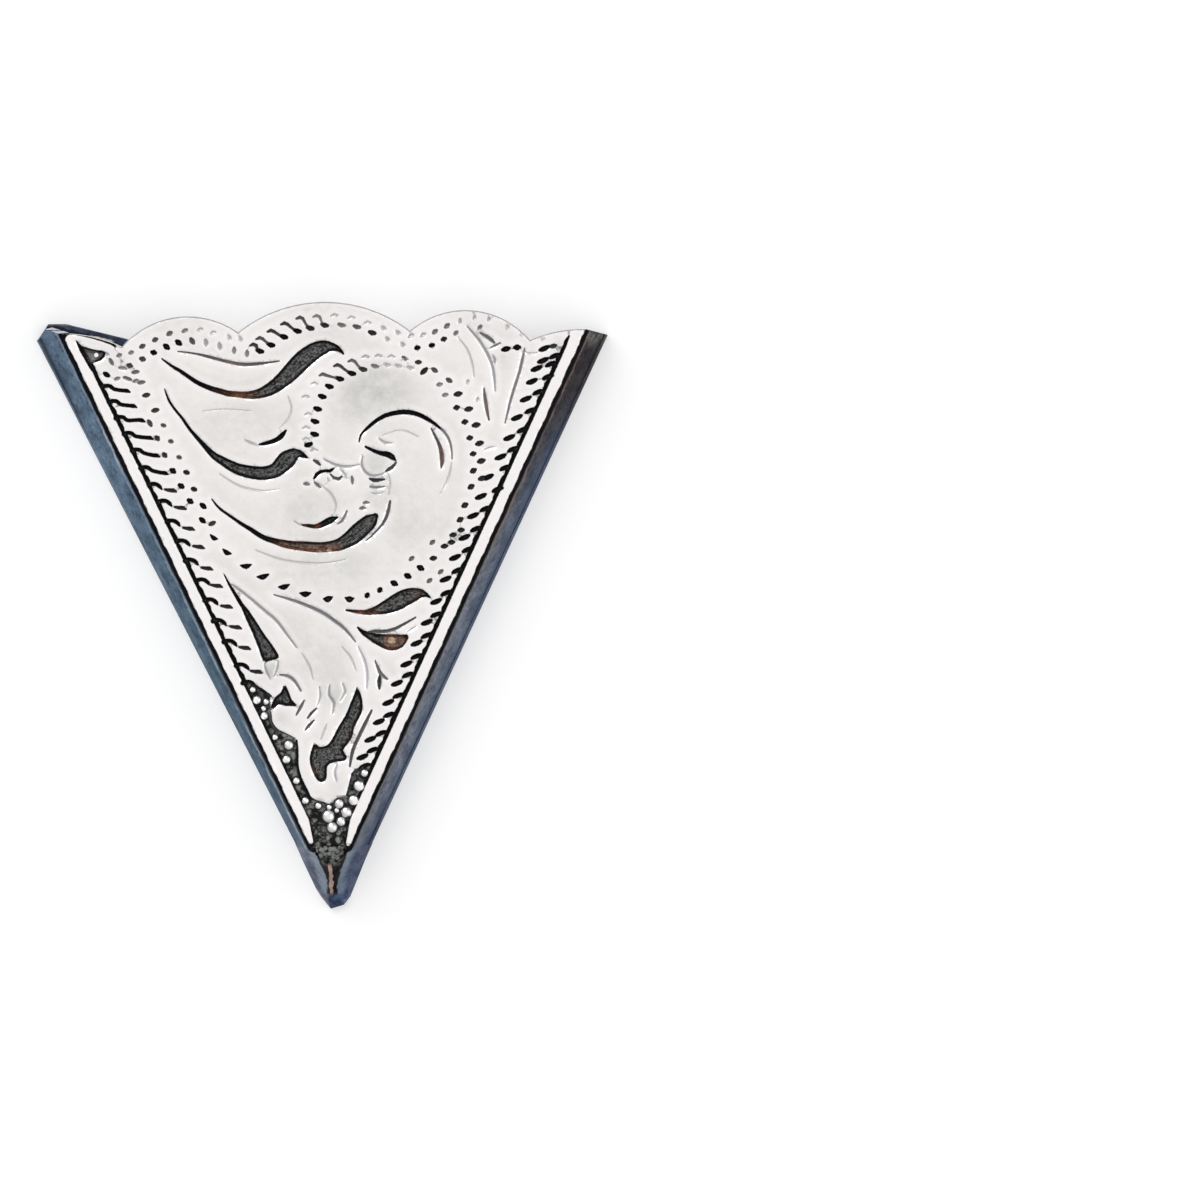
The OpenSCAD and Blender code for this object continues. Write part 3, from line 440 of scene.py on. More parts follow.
def plan():
    """The panel's sizes in millimetres, with the places that follow from them, as the CAD source has them."""
    s = bpy.context.scene.collar_tip_sizes
    p = SimpleNamespace(
        face_w=s.face_width / MM, face_h=s.face_height / MM, depth=s.depth / MM, sheet=s.sheet / MM,
        lip_w=s.lip_width / MM, fold=s.fold_radius / MM, cut=s.cut_depth / MM, swell=s.swell / MM,
        burr=s.burr / MM, step=s.mesh_step / MM, screw_d=s.screw_diameter / MM,
        # How far each wall flares at the top and at the foot, and how its outer corner stands to the face's
        left_flare=(1.8, 0.84), right_flare=(1.42, 1.22), left_rise=0.4, right_drop=0.6,
        # The nipped corner, the nose, and the slope of the lips' ends
        nip_down=1.1, nip_in=1.3, tip_y=-1.4, nose_y=2.7, lip_slope=14.0, lip_shoulder=2.2,
        # The scalloped top: its notches and the rise of its arcs
        inner_notch=5.35, left_notch=(12.6, 0.85), right_notch=(12.8, 0.65), middle_rise=1.85,
        left_arc=1.42, right_arc=1.57, corner_rise=0.22,
        # The plain strip along each slanted edge and the black line inside it
        border=0.88, line=0.2,
        # How far the engraved face and the matted ground lie under the CAD's face, and the height of a raised ridge
        sunk_face=0.06, sunk_ground=0.33, ridge=0.03,
        screw_y=22.0, screw_l=1.7, screw_up=0.1)
    p.lean = math.atan(p.face_w / 2 / p.face_h)
    edge = p.face_h / math.cos(p.lean)
    p.left_lean = p.lean + math.atan((p.left_flare[0] - p.left_flare[1]) / edge)
    p.right_lean = p.lean + math.atan((p.right_flare[0] - p.right_flare[1]) / edge)
    p.left_foot = p.left_flare[1] / math.cos(p.lean)
    p.right_foot = p.right_flare[1] / math.cos(p.lean)
    p.face_x = lambda side, y: side * y * math.tan(p.lean)
    p.back_x = lambda side, y: (
        -p.left_foot - y * math.tan(p.left_lean) if side < 0 else p.right_foot + y * math.tan(p.right_lean))
    p.back_lean = lambda side: p.left_lean if side < 0 else p.right_lean
    p.corner_y = lambda side: p.face_h + p.left_rise if side < 0 else p.face_h - p.right_drop
    p.middle_x = (p.back_x(-1, p.corner_y(-1) - p.nip_down) + p.back_x(1, p.corner_y(1))) / 2
    p.middle_y = (p.face_h + p.middle_rise + p.tip_y) / 2
    p.back_point_y = -(p.left_foot + p.right_foot) / (math.tan(p.left_lean) + math.tan(p.right_lean))
    p.back_point_x = p.back_x(1, p.back_point_y)
    p.seam_lean = (p.left_lean - p.right_lean) / 2
    p.seam_x = lambda y: p.back_point_x - (y - p.back_point_y) * math.tan(p.seam_lean)
    p.screw_x = p.back_x(1, p.screw_y) - p.lip_w / 2 / math.cos(p.right_lean)
    return p


def at(p, x, y, z=0.0):
    """A plan place in millimetres as a place in the part's frame, in metres."""
    return Vector((x - p.middle_x, y - p.middle_y, z)) * MM


# Drawing the engraving on the flat face, in plan millimetres

def smooth_line(rows, step):
    """Points about a step apart on a smooth curve through rows of numbers that start with x and y."""
    rows = np.array(rows, float)
    out = []
    for i in range(len(rows) - 1):
        a, b, c, d = rows[max(i - 1, 0)], rows[i], rows[i + 1], rows[min(i + 2, len(rows) - 1)]
        n = max(1, int(math.hypot(*(c - b)[:2]) / step))
        for k in range(n):
            t = k / n
            out.append(0.5 * (2 * b + (c - a) * t + (2 * a - 5 * b + 4 * c - d) * t * t
                              + (3 * b - a - 3 * c + d) * t * t * t))
    return np.array(out + [rows[-1]])


def smooth_loop(places, step):
    """Points about a step apart on a smooth closed curve through places."""
    return smooth_line(places + places[:1], step)[:-1]


def punch(x, y, length, width, turn, bow=0.0):
    """One punched mark as rows of x, y and width, turned and perhaps bowed."""
    c, s = math.cos(math.radians(turn)), math.sin(math.radians(turn))
    rows = []
    # The rounded ends that cut_sides adds make up the rest of the length
    reach = max(length - 0.7 * width, 0.12)
    for u, w in PUNCH_SHAPE:
        v = bow * (1 - 4 * u * u)
        rows.append((x + c * u * reach - s * v, y + s * u * reach + c * v, 1.1 * w * width))
    return rows


def all_cuts(p):
    """Every cut on the face as (ink, smooth rows, whether it shapes the leaves)."""
    cuts = []

    def cut(ink, rows, step=0.12, leaf=False):
        # step is the distance between the points that a cut is drawn with
        smooth = smooth_line(rows, step)
        smooth[:, 2] += p.burr
        cuts.append((ink, smooth, leaf))

    for group in (LEAF_CUTS, SCROLL_CUTS, TOP_LEAF_CUTS, PLUME_CUTS):
        for ink, rows in group:
            cut(ink, rows, 0.16, ink > FAINT)
    for ink, length, width, turn, places in PUNCH_ROWS:
        for x, y in places:
            cut(ink, punch(x, y, length, width, turn), 0.1)
    for head_ink, tail_ink, x, y, u, v in ROPE_MARKS:
        side = 1 if x > u else -1
        # A faint stroke is thinner too
        h, t = 0.55 + 0.45 * head_ink, 0.55 + 0.45 * tail_ink
        head = [(x - side * 0.17, y + 0.07, 0.22 * h), (x, y, 0.33 * h), (x + side * 0.15, y - 0.02, 0.24 * h)]
        cut(head_ink, head, 0.1)
        tail = [(u - side * 0.26, v - 0.07, 0.12 * t), (u - side * 0.05, v + 0.02, 0.22 * t),
                (u + side * 0.14, v - 0.06, 0.2 * t)]
        if tail_ink >= 0.5:
            # A strong tail runs on to the head
            tail += [(x * 0.5 + u * 0.5, y * 0.55 + v * 0.45, 0.15 * t),
                     (x * 0.8 + u * 0.2, y * 0.85 + v * 0.15, 0.14 * t)]
        cut(tail_ink, tail)
    for x, y, width, height, turn in HALF_MOONS:
        c, s = math.cos(math.radians(turn)) * width / 2, math.sin(math.radians(turn)) * width / 2
        cut(1.0, [(x - c, y - s + 0.06, 0.08), (x - c * 0.4, y - s * 0.4, height * 0.8), (x, y - 0.03, height),
                  (x + c * 0.4, y + s * 0.4, height * 0.8), (x + c, y + s + 0.06, 0.08)], 0.08)
    for i, ((x, y), (u, v)) in enumerate(zip(LEFT_WAVES, LEFT_WAVE_TAILS)):
        tail = [(u - 0.3, v + 0.05, 0.14), (u - 0.02, v, 0.22), (u + 0.22, v - 0.02, 0.24), (u + 0.38, v - 0.1, 0.1)]
        head = [(x - 0.42, y - 0.02, 0.3), (x - 0.2, y + 0.06, 0.24), (x + 0.08, y + 0.02, 0.24),
                (x + 0.3, y - 0.16, 0.22)]
        if i < JOINED_WAVES:
            cut(1.0, head + tail[1:])
        else:
            cut(1.0, head + [(x + 0.38, y - 0.28, 0.1)])
            cut(0.95, tail)
    for x, y in RIGHT_DASHES:
        cut(1.0, punch(x, y, 0.8, 0.25, 20, 0.03))
    for x, y in RIGHT_DASH_ENDS:
        cut(1.0, punch(x, y, 0.78, 0.27, 22, -0.02))
    # The black line inside each border strip, notched where the marks run into it
    along = math.tan(p.lean)
    inside = p.border / math.cos(p.lean)
    parts = 180
    for side, top_y, foot_y in ((-1, 34.2, 3.1), (1, 34.7, 2.95)):
        rows = []
        for i in range(parts + 1):
            y = foot_y + (top_y - foot_y) * i / parts
            notch = 0.5 + 0.5 * math.sin(5.3 * y + side) * math.sin(1.9 * y) + 0.3 * math.sin(11.7 * y + side)
            width = p.line + 0.1 * min(max(notch, 0.0), 1.0)
            # By the point the line swings outwards, and the strip narrows
            swing = 0.28 * min(max(4.6 - y, 0.0), 1.8)
            x = y * along - inside - (width - p.line) * 0.45 + swing
            rows.append((side * x, y, width * min(1.0, 0.4 + (top_y - y))))
        cut(1.0, rows, 0.2)
        # The strip's rounded end by the point
        x0, x1 = rows[0][0], side * (foot_y * along)
        cut(1.0, [(x0, foot_y + 0.1, 0.22), ((x0 * 2 + x1) / 3, foot_y - 0.16, 0.22),
                  ((x0 + x1 * 2) / 3, foot_y - 0.18, 0.22), (x1, foot_y, 0.22)], 0.1)
    # A black line round the strip's rounded corner at the left top that runs on along the top as a painted shadow
    # under the face's edge, and the fine painted shadow along the free edge
    cut(1.0, [(-16.15, 34.55, 0.1), (-16.2, 34.85, 0.22), (-16.0, 35.12, 0.22), (-15.6, 35.14, 0.16),
              (-14.9, 34.98, 0.1), (-14.0, 34.72, 0.08), (-13.2, 34.45, 0.12), (-12.95, 34.3, 0.16)], 0.15)
    rim_ink, rim_width = 0.55, 0.13
    for a, b, rise, _steps in scallops(p)[:4]:
        rim = [(q[0], q[1], rim_width) for q in arc(a, b, rise, 40)] + [b + (rim_width,)]
        cuts.append((rim_ink, np.array(rim), False))
    return cuts


def edge_lines(p):
    """The black line along each slanted edge, half of it on the face and half on the wall."""
    lines = []
    for side in (-1, 1):
        rows = [(p.face_x(side, y), y, 0.28 + 0.05 * math.sin(3.1 * y + side) + 0.04 * math.sin(9.7 * y))
                for y in np.linspace(p.nose_y, p.face_h, 180)]
        lines.append((1.0, np.array(rows), False))
    return lines


def arc(a, b, rise, n):
    """Points on the arc that rises over the chord from a to b, without the last one."""
    a, b = np.array(a, float), np.array(b, float)
    chord = np.linalg.norm(b - a)
    r = (chord ** 2 / 4 + rise ** 2) / (2 * rise)
    u = (b - a) / chord
    v = np.array([u[1], -u[0]]) if u[0] < 0 else np.array([-u[1], u[0]])
    centre = (a + b) / 2 + v * (rise - r)
    half = math.asin(chord / 2 / r)
    out = []
    for i in range(n):
        t = -half + 2 * half * i / n
        out.append(centre + r * (u * math.sin(t) + v * math.cos(t)))
    return out


def scallops(p):
    """The arcs along the top from right to left: start, end, rise and how many steps."""
    top = p.face_h
    right = (p.right_notch[0], top - p.right_notch[1])
    left = (-p.left_notch[0], top - p.left_notch[1])
    return [((p.face_w / 2, top), right, p.corner_rise, 16),
            (right, (p.inner_notch, top), p.right_arc, 44),
            ((p.inner_notch, top), (-p.inner_notch, top), p.middle_rise, 60),
            ((-p.inner_notch, top), left, p.left_arc, 44),
            (left, (-p.face_w / 2, top), p.corner_rise, 16)]


def face_outline(p):
    """The face's outline, anticlockwise from its left foot."""
    ring = [np.array([p.face_x(-1, p.nose_y), p.nose_y])]
    side_points = 110
    ring += [np.array([p.face_x(1, y), y]) for y in np.linspace(p.nose_y, p.face_h, side_points)[:-1]]
    for a, b, rise, steps in scallops(p):
        ring += arc(a, b, rise, steps)
    ring += [np.array([p.face_x(-1, y), y]) for y in np.linspace(p.face_h, p.nose_y, side_points)[:-1]]
    return np.array(ring)


def inside_ring(points, ring):
    """Which points lie inside a closed outline."""
    x, y = points[:, 0], points[:, 1]
    inside = np.zeros(len(points), bool)
    for (x0, y0), (x1, y1) in zip(ring, np.roll(ring, -1, axis=0)):
        crosses = (y0 > y) != (y1 > y)
        with np.errstate(divide="ignore", invalid="ignore"):
            inside ^= crosses & (x < (x1 - x0) * (y - y0) / (y1 - y0) + x0)
    return inside


def from_line(points, line, closed=False):
    """Each point's distance from a line of x, y rows, with the length along it and its third number there."""
    ends = np.roll(line, -1, axis=0) if closed else line[1:]
    starts = line if closed else line[:-1]
    best = np.full(len(points), 1e9)
    along = np.zeros(len(points))
    width = np.zeros(len(points))
    run = 0.0
    for a, b in zip(starts, ends):
        d = b[:2] - a[:2]
        length = math.hypot(*d)
        if length < 1e-9:
            continue
        t = np.clip(((points - a[:2]) @ d) / length ** 2, 0, 1)
        gap = np.hypot(*(points - a[:2] - t[:, None] * d).T)
        near = gap < best
        best[near] = gap[near]
        along[near] = run + t[near] * length
        if len(a) > 2:
            width[near] = a[2] + t[near] * (b[2] - a[2])
        run += length
    return best, along, width


def cut_sides(rows):
    """The outline of a cut: its middle line widened by half its width, with rounded ends where it is wide."""
    ahead = np.gradient(rows[:, :2], axis=0)
    ahead /= np.maximum(np.hypot(*ahead.T), 1e-9)[:, None]
    side = np.stack([-ahead[:, 1], ahead[:, 0]], axis=1) * rows[:, 2:3] / 2

    def rounded(i, way):
        reach = rows[i, 2] / 2
        if reach < 0.05:
            return np.empty((0, 2))
        turns = np.radians([45, 90, 135])[:, None]
        return rows[i, :2] + way * (np.cos(turns) * side[i] + np.sin(turns) * ahead[i] * reach)

    return np.vstack([rows[:, :2] + side, rounded(-1, 1), (rows[:, :2] - side)[::-1], rounded(0, -1)])


def face_points(p, ring, cuts, edges):
    """The points and drawn lines that the face's mesh is made from."""
    points, lines, base = [], [], 0

    def draw(line, closed):
        nonlocal base
        n = len(line)
        points.append(line)
        lines.extend((base + i, base + (i + 1) % n) for i in range(n if closed else n - 1))
        base += n

    draw(ring, True)
    for _ink, rows, _leaf in cuts:
        draw(cut_sides(rows), True)
        draw(rows[:, :2], False)
    for _ink, outline in DARK_PATCHES:
        draw(smooth_loop(outline, PATCH_STEP), True)
    draw(smooth_loop(GROUND, GROUND_STEP), True)
    for x, y, r in FOOT_BEADS:
        for share, more, n in BEAD_RINGS:
            reach = share * r + more
            turn = np.arange(n) * 2 * math.pi / n
            draw(np.stack([x + reach * np.cos(turn), y + reach * np.sin(turn)], axis=1), True)
    for _ink, rows, _leaf in edges:
        side = np.sign(rows[0, 0])
        inner = rows[3:-3, :2] - np.array([side * rows[0, 2] / 2 / math.cos(p.lean), 0])
        draw(inner, False)
    drawn = np.vstack(points)
    kept = inside_ring(drawn, ring)
    kept[:len(ring)] = True
    # An even field of points between the lines, in rows set as in a triangle grid
    row_share, clear_share = 0.866, 0.55
    tree = kdtree.KDTree(len(drawn))
    for i, q in enumerate(drawn):
        tree.insert((q[0], q[1], 0), i)
    tree.balance()
    field = []
    rows_up = int((p.face_h + p.middle_rise - p.nose_y) / (p.step * row_share)) + 1
    for j in range(rows_up):
        y = p.nose_y + j * p.step * row_share
        reach = min(p.face_w / 2, p.face_x(1, y))
        for i in range(-int(reach / p.step) - 1, int(reach / p.step) + 2):
            x = (i + 0.5 * (j % 2)) * p.step
            if tree.find((x, y, 0))[2] > clear_share * p.step:
                field.append((x, y))
    field = np.array(field)
    field = field[inside_ring(field, ring)]
    number = np.cumsum(kept) - 1
    lines = [(number[a], number[b]) for a, b in lines if kept[a] and kept[b]]
    return np.vstack([drawn[kept], field]), lines


def engrave(p, points, ring, cuts, edges):
    """How each point of the face is cut, shaped and coloured."""
    n = len(points)
    look = {name: np.zeros(n) for name in ("inset", "ink", "along", "tint", "tone")}
    look["inset"][:] = -FAR
    depth = np.zeros(n)
    from_leaf = np.full(n, FAR)
    from_mark = np.full(n, FAR)

    def cut_here(chosen, inset, ink, along, sink):
        deeper = inset > look["inset"][chosen]
        hit = chosen[deeper]
        look["inset"][hit] = inset[deeper]
        look["ink"][hit] = ink
        look["along"][hit] = along[deeper]
        depth[hit] = np.maximum(depth[hit], np.clip(sink[deeper], 0, None))

    # Only the points within reach of a cut are looked at
    reach = 1.3
    for ink, rows, leaf in cuts + edges:
        lo, hi = rows[:, :2].min(0) - reach, rows[:, :2].max(0) + reach
        chosen = np.flatnonzero(((points > lo) & (points < hi)).all(1))
        gap, along, width = from_line(points[chosen], rows)
        inset = width / 2 - gap
        steep = 1.05 if ink > 0.5 else 0.6
        sink = np.minimum(inset * steep, p.cut) * (0.45 + 0.55 * ink)
        cut_here(chosen, inset, ink, along, sink)
        from_mark[chosen] = np.minimum(from_mark[chosen], np.where(ink > FAINT, -inset, FAR))
        if leaf:
            from_leaf[chosen] = np.minimum(from_leaf[chosen], np.maximum(-inset, 0))
    for ink, outline in DARK_PATCHES:
        loop = smooth_loop(outline, PATCH_STEP)
        lo, hi = loop.min(0) - 1.0, loop.max(0) + 1.0
        chosen = np.flatnonzero(((points > lo) & (points < hi)).all(1))
        gap, along, _ = from_line(points[chosen], loop, True)
        inset = np.where(inside_ring(points[chosen], loop), gap, -gap)
        inset[np.abs(inset) < 1e-6] = 0.0
        cut_here(chosen, inset, ink, along, np.minimum(inset * 1.1, p.cut))
        from_mark[chosen] = np.minimum(from_mark[chosen], -inset)
        from_leaf[chosen] = np.minimum(from_leaf[chosen], np.maximum(-inset, 0))
    ground = smooth_loop(GROUND, GROUND_STEP)
    gap = from_line(points, ground, True)[0]
    sunk = np.where(inside_ring(points, ground), gap, -gap)
    sunk[np.abs(sunk) < 1e-6] = 0.0
    bead_rise = np.zeros(n)
    on_bead = np.zeros(n)
    round_bead = np.zeros(n)
    highest_bead, bead_flank, ring_reach = 0.26, 0.22, 0.11
    for x, y, r in FOOT_BEADS:
        share = np.hypot(points[:, 0] - x, points[:, 1] - y) / r
        dome = np.sqrt(np.clip(1 - share ** 2, 0, 1))
        bead_rise = np.maximum(bead_rise, dome * min(r * 0.75, highest_bead))
        on_bead = np.maximum(on_bead, np.clip((1 - share) / bead_flank, 0, 1))
        round_bead = np.maximum(round_bead, np.clip(1.2 - (share - 1) * r / ring_reach, 0, 1))
    look["ground"] = np.clip(sunk / 0.1 + 0.4, 0, 1)
    look["bead"] = on_bead
    look["ring"] = round_bead
    depth *= 1 - on_bead
    look["ink"] *= 1 - on_bead
    # The leaves swell between their cuts, and the tool raises a small bright ridge beside each mark
    swell_reach, ridge_away, ridge_reach, rim_reach, rim_drop = 0.7, 0.09, 0.08, 0.08, 0.05
    swell = p.swell * (1 - np.exp(-from_leaf / swell_reach))
    ridge = p.ridge * np.exp(-((from_mark - ridge_away) / ridge_reach) ** 2) * (from_mark > -0.02)
    rim = np.minimum(from_line(points, ring, True)[0] / rim_reach, 1.0)
    height = p.depth - p.sunk_face - p.swell + swell + ridge - depth
    matted = p.depth - p.sunk_ground + bead_rise
    height += (np.minimum(height, matted) - height) * look["ground"]
    height -= rim_drop * (1 - rim) ** 2
    # Beside a mark the silver is bright, partly burnish and partly a painted highlight. Away from the marks it is the
    # softer grey of the open leaf.
    look["tone"] = np.clip((from_mark - 0.07) / 0.4, 0, 1)
    edge_gap = p.face_w
    for side in (-1, 1):
        across = (p.face_x(side, points[:, 1]) - points[:, 0]) * side * math.cos(p.lean)
        edge_gap = np.minimum(edge_gap, across)
    look["tone"][edge_gap < p.border] = 0.0
    # Painted shade in soft grey plates
    shade = np.zeros(n)
    for x, y, reach, strength in SHADE_PLATES:
        shade += strength * np.exp(-((points[:, 0] - x) ** 2 + (points[:, 1] - y) ** 2) / reach ** 2)
    look["shade"] = np.clip(shade, 0, 1) * (edge_gap > p.border)
    for x, y, reach, strength in TARNISH:
        spot = strength * np.exp(-((points[:, 0] - x) ** 2 + (points[:, 1] - y) ** 2) / reach ** 2)
        look["tint"] = np.maximum(look["tint"], spot)
    return height, look


def new_piece(name, mesh, material, slot, *nodes):
    """Puts a mesh in the scene as a piece that rides on the root body and stands for CAD nodes."""
    piece = mesh if isinstance(mesh, bpy.types.Object) else bpy.data.objects.new(name, mesh)
    if piece.name not in bpy.context.scene.collection.all_objects:
        bpy.context.scene.collection.objects.link(piece)
    piece.name = name
    piece.data.name = name
    for one in material if isinstance(material, (list, tuple)) else [material]:
        if one.name not in piece.data.materials:
            piece.data.materials.append(one)
    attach(piece, "root")
    if nodes:
        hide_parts(*nodes)
    return piece


def face_mesh(p):
    """The engraved face as a closed plate, with what the silver's material reads stored on its points."""
    ring = face_outline(p)
    cuts = all_cuts(p)
    edges = edge_lines(p)
    points, lines = face_points(p, ring, cuts, edges)
    made = delaunay_2d_cdt([Vector(q) for q in points], lines, [], 0, 1e-5, True)
    flat = np.array([(v.x, v.y) for v in made[0]])
    faces = np.array([f[:] for f in made[2]])
    corners = flat[faces]
    one, two = corners[:, 1] - corners[:, 0], corners[:, 2] - corners[:, 0]
    area = one[:, 0] * two[:, 1] - one[:, 1] * two[:, 0]
    faces = faces[inside_ring(corners.mean(1), ring) & (np.abs(area) > 1e-7)]
    used = np.unique(faces)
    number = np.zeros(len(flat), int)
    number[used] = np.arange(len(used))
    flat, faces = flat[used], number[faces]
    height, look = engrave(p, flat, ring, cuts, edges)
    # The rim runs down from the free edges to the plate's flat underside
    sides = {}
    for f in faces:
        for a, b in ((f[0], f[1]), (f[1], f[2]), (f[2], f[0])):
            if (b, a) in sides:
                del sides[(b, a)]
            else:
                sides[(a, b)] = True
    after = {a: b for a, b in sides}
    loop = [next(iter(after))]
    while after[loop[-1]] != loop[0]:
        loop.append(after[loop[-1]])
    n = len(flat)
    top = [at(p, x, y, z) for (x, y), z in zip(flat, height)]
    under = [at(p, flat[i, 0], flat[i, 1], p.depth - p.sheet) for i in loop]
    low = {v: n + i for i, v in enumerate(loop)}
    all_faces = [tuple(f) for f in faces]
    for a, b in zip(loop, loop[1:] + loop[:1]):
        all_faces.append((b, a, low[a], low[b]))
    all_faces.append(tuple(low[v] for v in reversed(loop)))
    mesh = bpy.data.meshes.new("engraved_face")
    mesh.from_pydata(top + under, [], all_faces)
    mesh.update()
    for name, values in look.items():
        store = mesh.attributes.new(name, "FLOAT", "POINT")
        full = np.concatenate([values, np.full(len(loop), -FAR if name == "inset" else 0.0)])
        store.data.foreach_set("value", full.astype(np.float32))
    return mesh


# Shaping by hand: primitives, and operators on what is selected by its place

def begin():
    """Leaves edit mode and deselects everything."""
    if bpy.context.object and bpy.context.object.mode != "OBJECT":
        bpy.ops.object.mode_set(mode="OBJECT")
    bpy.ops.object.select_all(action="DESELECT")


def pick(piece, kind, test):
    """Selects the vertices, edges or faces whose middle and normal pass a test, and goes to edit mode."""
    bpy.ops.object.mode_set(mode="EDIT")
    bpy.ops.mesh.select_mode(type=kind)
    bpy.ops.mesh.select_all(action="DESELECT")
    bpy.ops.object.mode_set(mode="OBJECT")
    mesh = piece.data
    count = 0
    if kind == "VERT":
        for v in mesh.vertices:
            v.select = bool(test(v.co, v.normal))
            count += v.select
    elif kind == "EDGE":
        for e in mesh.edges:
            a, b = (mesh.vertices[i].co for i in e.vertices)
            e.select = bool(test(a, b))
            count += e.select
    else:
        for f in mesh.polygons:
            f.select = bool(test(f.center, f.normal))
            count += f.select
    if not count:
        raise RuntimeError(f"nothing to select on {piece.name}")
    bpy.ops.object.mode_set(mode="EDIT")


def everywhere(_middle, _normal):
    """The test that every face passes."""
    return True


def move_corner(piece, near, to):
    """Moves the one vertex nearest a place by the way from that place to another."""
    nearest = min((v.co - near).length for v in piece.data.vertices)
    pick(piece, "VERT", lambda co, _n: (co - near).length <= nearest + 1e-9)
    bpy.ops.transform.translate(value=to - near)
    bpy.ops.object.mode_set(mode="OBJECT")


def saw_off(piece, test, place, outwards, fill=False):
    """Cuts the faces that pass a test along a plane, and throws away what lies outwards of it."""
    pick(piece, "FACE", test)
    bpy.ops.mesh.bisect(plane_co=place, plane_no=outwards, use_fill=fill, clear_outer=True)
    bpy.ops.object.mode_set(mode="OBJECT")


def even_normals(piece):
    """Turns all faces of a piece the same way."""
    pick(piece, "FACE", everywhere)
    bpy.ops.mesh.normals_make_consistent(inside=False)
    bpy.ops.object.mode_set(mode="OBJECT")


def finish_shape(piece, modifiers, angle=35):
    """Applies modifiers, given as (kind, settings), and shades the piece smooth up to an angle."""
    begin()
    piece.select_set(True)
    bpy.context.view_layer.objects.active = piece
    for kind, settings in modifiers:
        modifier = piece.modifiers.new(kind.lower(), kind)
        for name, value in settings.items():
            setattr(modifier, name, value)
        bpy.ops.object.modifier_apply(modifier=modifier.name)
    bpy.ops.object.transform_apply(location=True, rotation=True, scale=True)
    bpy.ops.object.shade_smooth_by_angle(angle=math.radians(angle))


def softened(width, segments, angle):
    """A bevel on the edges sharper than an angle, as finish_shape takes it."""
    return ("BEVEL", {"width": width * MM, "segments": segments, "limit_method": "ANGLE",
                      "angle_limit": math.radians(angle)})


def side_slot(side, normal, middle):
    """Which of a side's materials a face takes: 0 the wall's, 1 the back's, 2 the sawn ends', 3 the inside's."""
    rim_up, fold_up, lip_up = 0.0029, 0.00004, 0.00065
    outwards = normal.x * side
    on_rim = normal.z > 0.4 and middle.z > rim_up
    if outwards > 0.3 and middle.z > fold_up and normal.y < 0.75 or on_rim:
        return 0
    if normal.y > 0.9 and middle.z > lip_up:
        return 2
    if normal.y > 0.25 or normal.z > 0.3 or outwards < -0.3:
        return 3
    return 1


